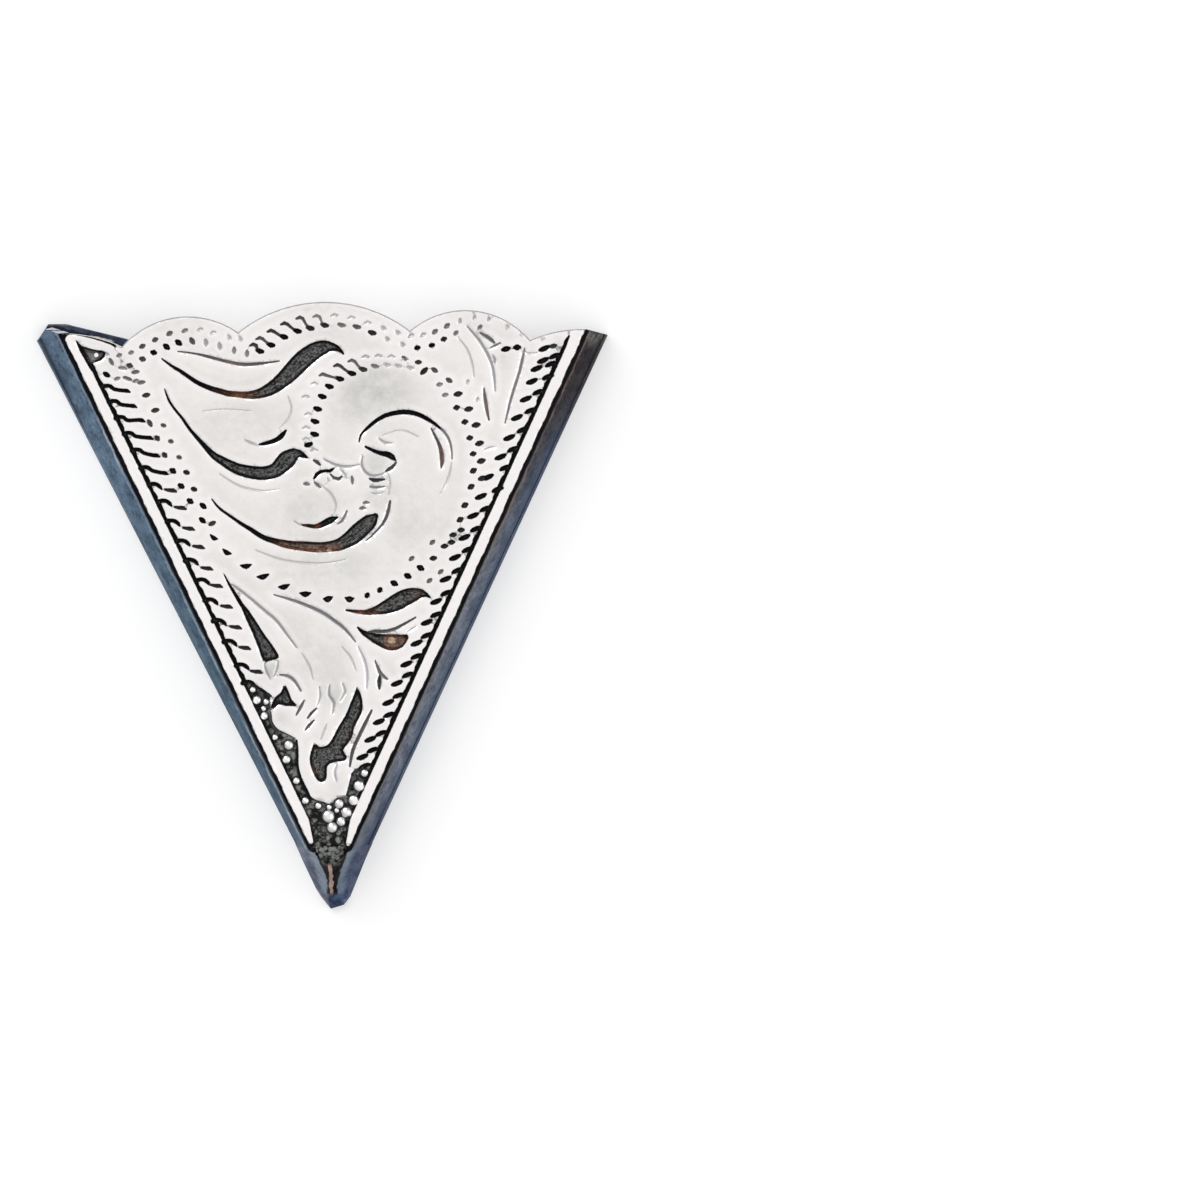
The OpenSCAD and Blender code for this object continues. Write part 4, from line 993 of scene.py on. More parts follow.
def folded_side(p, side):
    """One wall with the lip folded in behind it: a strip of sheet, bent, trimmed and thickened."""
    # The strip starts past the nose's join and under the face. It is made too long, and its end is sawn off
    # straight once it has its thickness.
    past_join, under_face, spare = 0.1, 0.22, 0.7
    foot_y = p.nose_y - past_join
    edge_z = p.depth - under_face
    share = (p.depth - edge_z) / p.depth
    corner_y = p.corner_y(side)

    def wall(y, z_share, z):
        return at(p, p.face_x(side, y) + (p.back_x(side, y) - p.face_x(side, y)) * z_share, y, z)

    def on_lip(middle, _normal):
        return abs(middle.z) < CLOSE

    def on_fold(a, b):
        for q in (a, b):
            x, y = q.x / MM + p.middle_x, q.y / MM + p.middle_y
            if abs(x - p.back_x(side, y)) > 0.02 or abs(q.z) > CLOSE:
                return False
        return abs(a.y - b.y) > 10 * MM

    # The wall, from a flat plane, and the lip drawn out of its lower edge
    begin()
    bpy.ops.mesh.primitive_plane_add(size=0.02)
    piece = bpy.context.object
    piece.name = "left_side" if side < 0 else "right_side"
    corners = {(-1, -1): wall(foot_y, share, edge_z), (-1, 1): wall(p.face_h + spare, share, edge_z),
               (1, -1): wall(foot_y, 1.0, 0.0), (1, 1): wall(corner_y + spare, 1.0, 0.0)}
    for co in [v.co.copy() for v in piece.data.vertices]:
        u = (1 if co.x > 0 else -1) * side
        move_corner(piece, co, corners[(u, 1 if co.y > 0 else -1)])
    low, high = corners[(1, -1)], corners[(1, 1)]
    run = p.lip_w / math.cos(p.back_lean(side))
    pick(piece, "EDGE", lambda a, b: {round(a.y, 6), round(b.y, 6)} == {round(low.y, 6), round(high.y, 6)}
         and max(abs(a.z), abs(b.z)) < CLOSE)
    bpy.ops.mesh.extrude_edges_move(TRANSFORM_OT_translate={"value": (-side * run * MM, 0, 0)})
    bpy.ops.object.mode_set(mode="OBJECT")
    # The lip is trimmed along the seam, along the slope of its end and, on the left, at the nipped corner
    half_seam, seam_y = 0.1, 10.0
    seam = at(p, p.seam_x(seam_y) + side * half_seam, seam_y)
    along_seam = Vector((-math.sin(p.seam_lean), math.cos(p.seam_lean), 0))
    saw_off(piece, on_lip, seam, -Vector((along_seam.y, -along_seam.x, 0)) * side)
    slope = math.tan(math.radians(p.lip_slope))
    shoulder = at(p, p.back_x(side, corner_y) - side * p.lip_shoulder, corner_y)
    saw_off(piece, on_lip, shoulder, Vector((-side * slope, 1, 0)).normalized())
    if side < 0:
        nip_y = corner_y - p.nip_down
        start = at(p, p.back_x(-1, nip_y), nip_y)
        end = at(p, p.back_x(-1, corner_y) + p.nip_in, corner_y)
        saw_off(piece, everywhere, start, Vector((-(end.y - start.y), end.x - start.x, 0)).normalized())
    even_normals(piece)
    wall_face = max(piece.data.polygons, key=lambda f: f.center.z)
    if wall_face.normal.x * side < 0:
        pick(piece, "FACE", everywhere)
        bpy.ops.mesh.flip_normals()
        bpy.ops.object.mode_set(mode="OBJECT")
    # The fold is rounded, the sheet gets its thickness and its edges are softened
    pick(piece, "EDGE", on_fold)
    bpy.ops.mesh.bevel(offset=p.fold * MM, segments=5, profile=0.5)
    bpy.ops.object.mode_set(mode="OBJECT")
    finish_shape(piece, [("SOLIDIFY", {"thickness": p.sheet * MM, "offset": -1, "use_even_offset": True})])
    begin()
    end_cut = Vector((0, p.depth, corner_y - p.face_h)).normalized()
    saw_off(piece, everywhere, at(p, 0, p.face_h, p.depth), end_cut, fill=True)
    finish_shape(piece, [softened(0.08, 2, 50)])
    # What the thickening pushed below the lip's back is pressed flat again
    begin()
    if min(v.co.z for v in piece.data.vertices) < 0:
        pick(piece, "VERT", lambda co, _n: co.z < 0)
        bpy.ops.transform.resize(value=(1, 1, 0), center_override=(0, 0, 0))
        bpy.ops.object.mode_set(mode="OBJECT")
    return piece


def cut_round_hole(piece, centre, diameter):
    """Drills a round hole through the sheet of a piece."""
    begin()
    bpy.ops.mesh.primitive_cylinder_add(vertices=48, radius=diameter / 2 * MM, depth=2 * MM, location=centre)
    drill = bpy.context.object
    finish_shape(piece, [("BOOLEAN", {"operation": "DIFFERENCE", "object": drill, "solver": "EXACT"})])
    bpy.data.objects.remove(drill)


class COLLARTIP_OT_engrave_face(bpy.types.Operator):
    """Cut and engrave the scalloped face"""

    bl_idname = "collar_tip.engrave_face"
    bl_label = "Engraved Face"

    def execute(self, context):
        p = plan()
        piece = new_piece("engraved_face", face_mesh(p), engraved_silver(p), "silver", "shell")
        begin()
        piece.select_set(True)
        context.view_layer.objects.active = piece
        bpy.ops.object.shade_smooth_by_angle(angle=math.radians(28))
        return {"FINISHED"}


class COLLARTIP_OT_fold_sides(bpy.types.Operator):
    """Fold the two walls and the lips behind them"""

    bl_idname = "collar_tip.fold_sides"
    bl_label = "Folded Sides"

    def execute(self, _context):
        p = plan()
        lip_middle, air = 0.35, 0.05
        for side, name in ((-1, "left_side"), (1, "right_side")):
            piece = folded_side(p, side)
            if side > 0:
                cut_round_hole(piece, at(p, p.screw_x, p.screw_y, lip_middle), p.screw_d + 2 * air)
            new_piece(name, piece, [wall_tarnish_and_reflection(p, side), satin_back(), cut_ends(), inside_tarnish_and_painted_light(p, side)],
                      "silver", "shell")
            for f in piece.data.polygons:
                f.material_index = side_slot(side, f.normal, f.center)
        return {"FINISHED"}


class COLLARTIP_OT_shape_nose(bpy.types.Operator):
    """Shape the blunt nose that closes the point"""

    bl_idname = "collar_tip.shape_nose"
    bl_label = "Nose"

    def execute(self, _context):
        p = plan()
        begin()
        top_y, ridge_y, low_y, cheek_y = p.nose_y + 0.25, 1.65, -0.1, -0.68
        bpy.ops.mesh.primitive_cube_add(size=0.002)
        piece = bpy.context.object
        piece.name = "nose"

        def wall_x(side, y, z):
            # The wall's outer surface at a height, so that the nose starts flush with it
            return p.face_x(side, y) + (p.back_x(side, y) - p.face_x(side, y)) * (p.depth - z) / p.depth

        # Rows of four corners from the face down to the blunt tip: left and right on top, then below
        rows = [
            [(p.face_x(-1, top_y) + 0.1, top_y, 3.1), (p.face_x(1, top_y) - 0.1, top_y, 3.1),
             (p.back_x(-1, top_y) + 0.1, top_y, 0.03), (p.back_x(1, top_y) - 0.1, top_y, 0.03)],
            [(wall_x(-1, p.nose_y - 0.05, 3.26), p.nose_y - 0.05, 3.26),
             (wall_x(1, p.nose_y - 0.05, 3.26), p.nose_y - 0.05, 3.26),
             (p.back_x(-1, p.nose_y), p.nose_y, 0.0), (p.back_x(1, p.nose_y), p.nose_y, 0.0)],
            [(-0.06, ridge_y, 3.22), (0.12, ridge_y, 3.22),
             (p.back_x(-1, ridge_y) - 0.09, ridge_y, 0.0), (p.back_x(1, ridge_y) + 0.03, ridge_y, 0.0)],
            [(-0.08, low_y - 0.2, 1.65), (0.14, low_y - 0.2, 1.65),
             (p.back_x(-1, low_y) - 0.16, low_y, 0.0), (p.back_x(1, low_y) + 0.14, low_y, 0.0)],
            [(-0.22, cheek_y - 0.1, 0.95), (p.back_x(1, cheek_y) - 0.3, cheek_y - 0.1, 0.95),
             (p.back_x(-1, cheek_y) - 0.1, cheek_y, 0.0), (p.back_x(1, cheek_y) + 0.16, cheek_y, 0.0)],
            [(p.seam_x(p.tip_y) - 0.32, p.tip_y, 0.5), (p.back_x(1, p.tip_y + 0.26), p.tip_y + 0.26, 0.5),
             (p.seam_x(p.tip_y) - 0.32, p.tip_y, 0.0), (p.back_x(1, p.tip_y + 0.26), p.tip_y + 0.26, 0.0)],
        ]
        rows = [[at(p, *q) for q in row] for row in rows]
        # The cube becomes the first two rows, and its end is drawn out to each next one
        for corner in [v.co.copy() for v in piece.data.vertices]:
            row = rows[0] if corner.y > 0 else rows[1]
            move_corner(piece, corner, row[(0 if corner.z > 0 else 2) + (1 if corner.x > 0 else 0)])
        step = Vector((0, -0.0003, 0))
        for before, row in zip(rows[1:], rows[2:]):
            y = sum(q.y for q in before) / 4
            pick(piece, "FACE", lambda c, n: abs(c.y - y) < CLOSE and n.y < -0.3)
            bpy.ops.mesh.extrude_region_move(TRANSFORM_OT_translate={"value": step})
            bpy.ops.object.mode_set(mode="OBJECT")
            for q, to in zip(before, row):
                move_corner(piece, q + step, to)
        even_normals(piece)
        finish_shape(piece, [softened(0.07, 3, 25)], angle=50)
        new_piece("nose", piece, dark_nose(p), "silver", "shell")
        return {"FINISHED"}


class COLLARTIP_OT_turn_set_screw(bpy.types.Operator):
    """Turn the slotted set screw in the right lip"""

    bl_idname = "collar_tip.turn_set_screw"
    bl_label = "Set Screw"

    def execute(self, _context):
        p = plan()
        begin()
        slot_width, slot_height = 0.4, 1.0
        middle = at(p, p.screw_x, p.screw_y, p.screw_up + p.screw_l / 2)
        bpy.ops.mesh.primitive_cylinder_add(
            vertices=48, radius=p.screw_d / 2 * MM, depth=p.screw_l * MM, location=middle)
        piece = bpy.context.object
        piece.name = "set_screw_turned"
        bpy.ops.mesh.primitive_cube_add(
            size=1, location=at(p, p.screw_x, p.screw_y, p.screw_up),
            scale=(2 * p.screw_d * MM, slot_width * MM, slot_height * MM))
        saw = bpy.context.object
        finish_shape(piece, [("BOOLEAN", {"operation": "DIFFERENCE", "object": saw, "solver": "EXACT"}),
                             softened(0.06, 2, 50)])
        bpy.data.objects.remove(saw)
        new_piece("set_screw_turned", piece, turned_steel(), "screw", "set_screw")
        return {"FINISHED"}


# Finishes

def shader_group(name, inputs, outputs, build):
    """Makes a node group once, with named inputs (name, default) and outputs (name, kind)."""
    if name in bpy.data.node_groups:
        return bpy.data.node_groups[name]
    tree = bpy.data.node_groups.new(name, "ShaderNodeTree")
    for label, value in inputs:
        socket = tree.interface.new_socket(name=label, in_out="INPUT", socket_type="NodeSocketFloat")
        socket.default_value = value
    for label, kind in outputs:
        tree.interface.new_socket(name=label, in_out="OUTPUT", socket_type=kind)
    build(tree, tree.nodes.new("NodeGroupInput"), tree.nodes.new("NodeGroupOutput"))
    return tree


class Finish:
    """A material's node tree with short ways to add and join nodes."""

    def __init__(self, tree):
        self.tree = tree

    def put(self, socket, value):
        if isinstance(value, bpy.types.NodeSocket):
            self.tree.links.new(value, socket)
        else:
            socket.default_value = value

    def node(self, kind, settings=None, **sockets):
        made = self.tree.nodes.new(kind)
        for name, value in (settings or {}).items():
            setattr(made, name, value)
        for name, value in sockets.items():
            self.put(made.inputs[name.replace("_", " ")], value)
        return made

    def math(self, operation, a, b=0.0, c=0.0, clamp=False):
        made = self.tree.nodes.new("ShaderNodeMath")
        made.operation = operation
        made.use_clamp = clamp
        for i, value in enumerate((a, b, c)):
            self.put(made.inputs[i], value)
        return made.outputs[0]

    def step(self, value, low, high, to_low=0.0, to_high=1.0):
        """A smooth step from one value to another between two bounds."""
        made = self.tree.nodes.new("ShaderNodeMapRange")
        made.interpolation_type = "SMOOTHSTEP"
        for i, v in enumerate((value, low, high, to_low, to_high)):
            self.put(made.inputs[i], v)
        return made.outputs[0]

    def mix(self, share, a, b, blend="MIX"):
        made = self.tree.nodes.new("ShaderNodeMix")
        made.data_type = "RGBA"
        made.blend_type = blend
        self.put(made.inputs[0], share)
        self.put(made.inputs[6], a)
        self.put(made.inputs[7], b)
        return made.outputs[2]

    def bump(self, shader, height, strength, distance):
        """Gives a shader's surface a fine relief."""
        made = self.node("ShaderNodeBump", Height=height, Strength=strength, Distance=distance)
        self.put(shader.inputs["Normal"], made.outputs[0])

    def stored(self, name):
        return self.node("ShaderNodeAttribute", {"attribute_name": name, "attribute_type": "GEOMETRY"}).outputs["Fac"]

    def place(self):
        return self.node("ShaderNodeTexCoord").outputs["Object"]

    def group(self, tree, **values):
        made = self.tree.nodes.new("ShaderNodeGroup")
        made.node_tree = tree
        for name, value in values.items():
            self.put(made.inputs[name.replace("_", " ")], value)
        return made


def soft_mottle():
    """Cloudy unevenness at two sizes, as in old silver."""
    def build(tree, given, out):
        f = Finish(tree)
        big = f.node("ShaderNodeTexNoise", Vector=f.place(), Scale=given.outputs["Scale"], Detail=4.0, Roughness=0.55)
        fine = f.node("ShaderNodeTexNoise", Vector=f.place(), Detail=3.0, Roughness=0.6)
        tree.links.new(f.math("MULTIPLY", given.outputs["Scale"], 5.3), fine.inputs["Scale"])
        both = f.math("ADD", f.math("MULTIPLY", big.outputs[0], 0.65), f.math("MULTIPLY", fine.outputs[0], 0.35))
        tree.links.new(f.step(both, 0.36, 0.64), out.inputs["Mottle"])
    return shader_group("soft_mottle", [("Scale", 500.0)], [("Mottle", "NodeSocketFloat")], build)


def fine_scratches():
    """Fine straight scratches that run one way, turned about the upright axis."""
    def build(tree, given, out):
        f = Finish(tree)
        turned = f.node("ShaderNodeVectorRotate", {"rotation_type": "Z_AXIS"}, Vector=f.place(),
                        Angle=given.outputs["Turn"])
        stretched = f.node("ShaderNodeVectorMath", {"operation": "MULTIPLY"})
        tree.links.new(turned.outputs[0], stretched.inputs[0])
        stretched.inputs[1].default_value = (1.0, 0.045, 1.0)
        lines = f.node("ShaderNodeTexNoise", Vector=stretched.outputs[0], Scale=given.outputs["Scale"], Detail=5.0,
                       Roughness=0.7)
        tree.links.new(f.step(lines.outputs[0], 0.46, 0.66), out.inputs["Scratches"])
    return shader_group("fine_scratches", [("Scale", 9000.0), ("Turn", 0.0)],
                        [("Scratches", "NodeSocketFloat")], build)


def from_face_edge(p):
    """Distance in millimetres outwards from the face's slanted edge, seen square to the face."""
    def build(tree, _given, out):
        f = Finish(tree)
        apart = f.node("ShaderNodeSeparateXYZ", Vector=f.place())
        x = f.math("ABSOLUTE", f.math("MULTIPLY_ADD", apart.outputs[0], 1 / MM, p.middle_x))
        y = f.math("MULTIPLY_ADD", apart.outputs[1], 1 / MM, p.middle_y)
        away = f.math("SUBTRACT", f.math("MULTIPLY", x, math.cos(p.lean)), f.math("MULTIPLY", y, math.sin(p.lean)))
        tree.links.new(away, out.inputs["Away"])
        tree.links.new(y, out.inputs["Height"])
        tree.links.new(apart.outputs[2], out.inputs["Up"])
    return shader_group("from_face_edge", [], [("Away", "NodeSocketFloat"), ("Height", "NodeSocketFloat"),
                                               ("Up", "NodeSocketFloat")], build)


def matted_ground():
    """The punched and blackened ground: grey patches in black, as colour strength from 0 to 1."""
    def build(tree, given, out):
        f = Finish(tree)
        patches = f.node("ShaderNodeTexNoise", Vector=f.place(), Scale=given.outputs["Scale"], Detail=3.0,
                         Roughness=0.65)
        pits = f.node("ShaderNodeTexVoronoi", Vector=f.place())
        tree.links.new(f.math("MULTIPLY", given.outputs["Scale"], 2.1), pits.inputs["Scale"])
        both = f.math("MULTIPLY", f.step(patches.outputs[0], 0.38, 0.58), f.step(pits.outputs["Distance"], 0.8, 0.4))
        tree.links.new(both, out.inputs["Worn"])
    return shader_group("matted_ground", [("Scale", 1700.0)], [("Worn", "NodeSocketFloat")], build)


def new_finish(name):
    """A new material and its Principled shader."""
    material = bpy.data.materials.get(name)
    if material:
        return material, None, None
    material = bpy.data.materials.new(name)
    material.use_nodes = True
    return material, Finish(material.node_tree), material.node_tree.nodes["Principled BSDF"]


def colours():
    return bpy.context.scene.collar_tip_colours


def engraved_silver(p):
    """Bright cut silver: white beside the cuts, partly a painted highlight, soft grey on the open leaves with painted
    shade in places, black in the cuts, partly blackening and partly a painted dark reflection.
    """
    material, f, shader = new_finish("engraved_silver")
    if f is None:
        return material
    c = colours()
    place = f.place()
    mottle = f.group(soft_mottle(), Scale=420.0).outputs[0]
    grain = f.node("ShaderNodeTexNoise", Vector=place, Scale=14000.0, Detail=3.0, Roughness=0.6).outputs[0]
    ragged = f.node("ShaderNodeTexNoise", Vector=place, Scale=6500.0, Detail=4.0, Roughness=0.65).outputs[0]
    inset = f.stored("inset")
    torn = f.math("MULTIPLY_ADD", f.math("SUBTRACT", ragged, 0.5), 0.09, inset)
    cut = f.step(torn, -0.02, 0.025)
    ink = f.stored("ink")
    # Silver, from bright, partly a painted highlight beside the cuts, to open, to shaded, the painted shade of the
    # grey plates
    tone = f.stored("tone")
    worn = f.math("MULTIPLY", tone, f.math("MULTIPLY_ADD", mottle, 0.5, 0.5))
    silver = f.mix(worn, tuple(c.bright), tuple(c.plate))
    # The painted shade of the grey plates
    shaded = f.math("MULTIPLY", f.stored("shade"), f.math("MULTIPLY_ADD", mottle, 0.6, 0.4))
    silver = f.mix(shaded, silver, tuple(c.shade))
    # The cut's floor: black at its edges, streaked grey in the wide ones; partly blackening and partly a painted dark
    # reflection of the cut's facets
    streak_place = f.node("ShaderNodeCombineXYZ")
    f.put(streak_place.inputs[0], f.math("MULTIPLY", f.stored("along"), 1.6))
    f.put(streak_place.inputs[1], f.math("MULTIPLY", inset, 16.0))
    streaks = f.node("ShaderNodeTexNoise", Vector=streak_place.outputs[0], Scale=1.0, Detail=5.0,
                     Roughness=0.7).outputs[0]
    deep = f.step(torn, 0.13, 0.24)
    lit = f.math("MULTIPLY_ADD", ragged, 0.5, f.math("MULTIPLY", streaks, 0.5))
    lit = f.math("MULTIPLY", deep, f.step(lit, 0.42, 0.62))
    floor = f.mix(lit, tuple(c.black), tuple(c.floor_of_cut))
    # Brown tarnish in patches, and a painted cream highlight where the tint is strongest
    tint = f.stored("tint")
    patchy = f.math("MULTIPLY_ADD", streaks, 0.6, f.math("MULTIPLY", ragged, 0.4))
    tarnish = f.math("MULTIPLY", tint, f.step(patchy, 0.35, 0.62))
    cream_highlight_share = f.step(tint, 0.9, 1.15)
    cream = (0.5, 0.38, 0.28, 1.0)
    floor = f.mix(f.math("MINIMUM", tarnish, 1.0), floor, f.mix(cream_highlight_share, tuple(c.tarnish), cream))
    strength = f.math("MULTIPLY", cut, f.math("POWER", ink, 0.8))
    colour = f.mix(strength, silver, floor)
    # The matted ground between the beads at the foot
    ground = f.math("MULTIPLY", f.stored("ground"), f.math("SUBTRACT", 1.0, f.stored("bead")))
    matted = f.group(matted_ground(), Scale=1700.0).outputs[0]
    matted = f.math("MULTIPLY", matted, f.math("SUBTRACT", 1.0, f.stored("ring")))
    olive = f.mix(matted, tuple(c.black), tuple(c.ground))
    colour = f.mix(ground, colour, olive)
    f.put(shader.inputs["Base Color"], colour)
    dark = f.math("MAXIMUM", strength, ground)
    f.put(shader.inputs["Metallic"], f.math("SUBTRACT", 1.0, f.math("MULTIPLY", dark, 0.6)))
    shader.inputs["Specular IOR Level"].default_value = 0.15
    smooth = f.math("MULTIPLY_ADD", mottle, 0.1, 0.2)
    f.put(shader.inputs["Roughness"], f.math("ADD", smooth, f.math("MULTIPLY", dark, 0.3)))
    hair = f.group(fine_scratches(), Scale=5200.0, Turn=0.6).outputs[0]
    height = f.math("ADD", f.math("MULTIPLY", grain, 0.5), f.math("MULTIPLY", hair, 0.25))
    height = f.math("ADD", height, f.math("MULTIPLY", f.math("MULTIPLY", deep, strength), streaks))
    f.bump(shader, height, strength=0.25, distance=0.00003)
    return material


def wall_tarnish_and_reflection(p, side):
    """A wall's colour, partly tarnish and partly painted reflection: black under the face's edge, then a stripe that
    is a painted highlight along the bend, then mottled colour down to the fold.
    """
    material, f, shader = new_finish("left_wall" if side < 0 else "right_wall")
    if f is None:
        return material
    c = colours()
    edge = f.group(from_face_edge(p))
    away, height = edge.outputs["Away"], edge.outputs["Height"]
    turn = p.lean if side < 0 else -p.lean
    mottle = f.group(soft_mottle(), Scale=900.0).outputs[0]
    broad = f.group(soft_mottle(), Scale=260.0).outputs[0]
    streaks = f.group(fine_scratches(), Scale=5200.0, Turn=turn).outputs[0]
    wander = f.math("MULTIPLY_ADD", f.math("SUBTRACT", mottle, 0.5), 0.08, away)
    # Lower down, towards the point, the colours change as painted reflection: the left wall darkens, the right pales
    low = f.step(height, 29.0, 13.0) if side < 0 else f.step(height, 33.0, 16.0)
    if side < 0:
        deep = f.mix(low, tuple(c.blue_wall), (0.02, 0.085, 0.125, 1.0))
        pale = (0.14, 0.2, 0.28, 1.0)
        dark = (0.01, 0.02, 0.042, 1.0)
        stripe_from, stripe_to, stripe = 0.17, 0.3, (0.38, 0.42, 0.48, 1.0)
        cloudy, outer_from, outer_to = 0.5, 14.0, 4.0
        sheen = (0.7, 0.76, 0.84, 1.0)
    else:
        deep = f.mix(low, tuple(c.plum_wall), (0.23, 0.28, 0.36, 1.0))
        pale = f.mix(low, (0.075, 0.072, 0.068, 1.0), (0.24, 0.25, 0.27, 1.0))
        dark = (0.008, 0.006, 0.01, 1.0)
        stripe_from, stripe_to, stripe = 0.15, 0.24, (0.24, 0.165, 0.12, 1.0)
        cloudy, outer_from, outer_to = 0.25, 31.5, 26.0
        sheen = (0.66, 0.64, 0.66, 1.0)
    navy, outer_blue, top_highlight_grey = (0.012, 0.013, 0.04, 1.0), (0.06, 0.1, 0.19, 1.0), (0.2, 0.2, 0.18, 1.0)
    steel, dark_steel = (0.13, 0.165, 0.21, 1.0), (0.035, 0.055, 0.12, 1.0)
    body = f.mix(f.math("MULTIPLY", broad, cloudy), deep, pale)
    body = f.mix(f.math("MULTIPLY", mottle, 0.6), body, dark)
    body = f.mix(f.math("MULTIPLY", streaks, 0.3), body, pale)
    # Small patches, navy in one place and greener or plum in another
    patches = f.group(soft_mottle(), Scale=2300.0).outputs[0]
    body = f.mix(f.math("MULTIPLY", f.step(patches, 0.6, 0.95), 0.5), body, navy)
    warm = (0.05, 0.13, 0.16, 1.0) if side < 0 else f.mix(low, (0.06, 0.055, 0.052, 1.0), (0.08, 0.14, 0.18, 1.0))
    body = f.mix(f.math("MULTIPLY", f.step(patches, 0.4, 0.05), 0.45), body, warm)
    # The outer side of the wall turns a deeper blue, on the left only near the point
    outer = f.math("MULTIPLY", f.step(wander, 0.45, 1.1), f.step(height, outer_from, outer_to))
    body = f.mix(f.math("MULTIPLY", outer, 0.65), body, outer_blue)
    # Beside the nose the wall takes on the nose's steel grey
    by_nose = f.mix(f.step(wander, 0.35, 0.9), steel, dark_steel)
    body = f.mix(f.math("MULTIPLY", f.step(height, 7.0, 2.8), 0.8), body, by_nose)
    # A grey-tan painted highlight high up on the right wall
    if side > 0:
        top_highlight = f.math("MULTIPLY", f.step(height, 33.6, 34.6), f.step(patches, 0.2, 0.7))
        body = f.mix(f.math("MULTIPLY", top_highlight, 0.7), body, top_highlight_grey)
    # The stripe, a painted highlight along the rounded bend, and the black line between it and the face
    band = f.step(wander, stripe_from, stripe_from + 0.04)
    band = f.math("MULTIPLY", band, f.step(wander, stripe_to + 0.05, stripe_to))
    body = f.mix(f.math("MULTIPLY", band, f.math("MULTIPLY_ADD", broad, -0.8, 0.95)), body, stripe)
    line = f.math("MULTIPLY", f.step(wander, stripe_from + 0.02, stripe_from - 0.03), f.step(height, 35.3, 35.15))
    body = f.mix(line, body, tuple(c.black))
    f.put(shader.inputs["Base Color"], body)
    shader.inputs["Metallic"].default_value = 0.85
    shader.inputs["Specular IOR Level"].default_value = 0.15
    shader.inputs["Specular Tint"].default_value = sheen
    f.put(shader.inputs["Roughness"], f.math("MULTIPLY_ADD", mottle, 0.15, 0.36))
    relief = f.math("ADD", f.math("MULTIPLY", streaks, 0.6), f.math("MULTIPLY", mottle, 0.5))
    f.bump(shader, relief, strength=0.3, distance=0.00004)
    return material


def dark_nose(p):
    """The blunt nose: worn bright along its ridge, black in its hollows, greenish grey elsewhere."""
    material, f, shader = new_finish("dark_nose")
    if f is None:
        return material
    place = f.group(from_face_edge(p))
    mottle = f.group(soft_mottle(), Scale=1100.0).outputs[0]
    blotch = f.group(soft_mottle(), Scale=420.0).outputs[0]
    apart = f.node("ShaderNodeSeparateXYZ", Vector=f.place())
    x = f.math("MULTIPLY_ADD", apart.outputs[0], 1 / MM, p.middle_x)
    height = place.outputs["Height"]
    # How far outside the dark wedge between the two border lines, which narrows towards the tip
    half = f.math("MAXIMUM", f.math("MULTIPLY_ADD", height, 0.37, 0.1), 0.33)
    beside = f.math("ABSOLUTE", f.math("SUBTRACT", x, 0.08))
    out_of = f.math("SUBTRACT", f.math("MULTIPLY_ADD", f.math("SUBTRACT", mottle, 0.5), 0.12, beside), half)
    black, ground, copper = tuple(colours().black), tuple(colours().ground), (0.62, 0.41, 0.35, 1.0)
    blue, navy = (0.05, 0.08, 0.15, 1.0), (0.02, 0.03, 0.09, 1.0)
    blue_tip, navy_tip = (0.06, 0.1, 0.19, 1.0), (0.02, 0.03, 0.07, 1.0)
    steel = f.mix(blotch, (0.11, 0.155, 0.215, 1.0), (0.175, 0.215, 0.265, 1.0))
    body = f.mix(f.step(out_of, 0.25, 0.65), steel, f.mix(mottle, blue, navy))
    worn = f.math("MULTIPLY", f.group(matted_ground(), Scale=1700.0).outputs[0], f.step(height, 1.5, 2.0))
    wedge = f.mix(worn, black, ground)
    hollow = f.step(out_of, 0.02, -0.03)
    body = f.mix(hollow, body, black)
    body = f.mix(f.step(out_of, -0.12, -0.2), body, wedge)
    bent = f.math("MULTIPLY_ADD", f.math("SUBTRACT", blotch, 0.5), 0.12, x)
    ridge = f.math("MULTIPLY", f.step(f.math("ABSOLUTE", f.math("SUBTRACT", bent, 0.02)), 0.15, 0.07),
                   f.math("MULTIPLY", f.step(height, 1.9, 1.5), f.step(height, -0.5, -0.1)))
    body = f.mix(f.math("MULTIPLY", ridge, f.math("MULTIPLY_ADD", mottle, -0.4, 1.0)), body, copper)
    rim = f.math("MULTIPLY", f.step(height, 2.48, 2.55), f.step(place.outputs["Up"], 0.0029, 0.003))
    body = f.mix(f.math("MULTIPLY", rim, f.step(out_of, -0.06, 0.0)), body, black)
    tip = f.mix(mottle, blue_tip, navy_tip)
    body = f.mix(f.step(height, -0.2, -0.5), body, tip)
    f.put(shader.inputs["Base Color"], body)
    hollow = f.math("MULTIPLY", f.math("SUBTRACT", hollow, ridge, clamp=True), f.step(height, -0.5, -0.2))
    f.put(shader.inputs["Metallic"], f.math("MULTIPLY_ADD", hollow, 0.2, 0.75))
    shader.inputs["Specular IOR Level"].default_value = 0.12
    f.put(shader.inputs["Roughness"], f.math("MULTIPLY_ADD", hollow, 0.3, f.math("MULTIPLY_ADD", mottle, 0.2, 0.3)))
    f.bump(shader, mottle, strength=0.4, distance=0.00005)
    return material


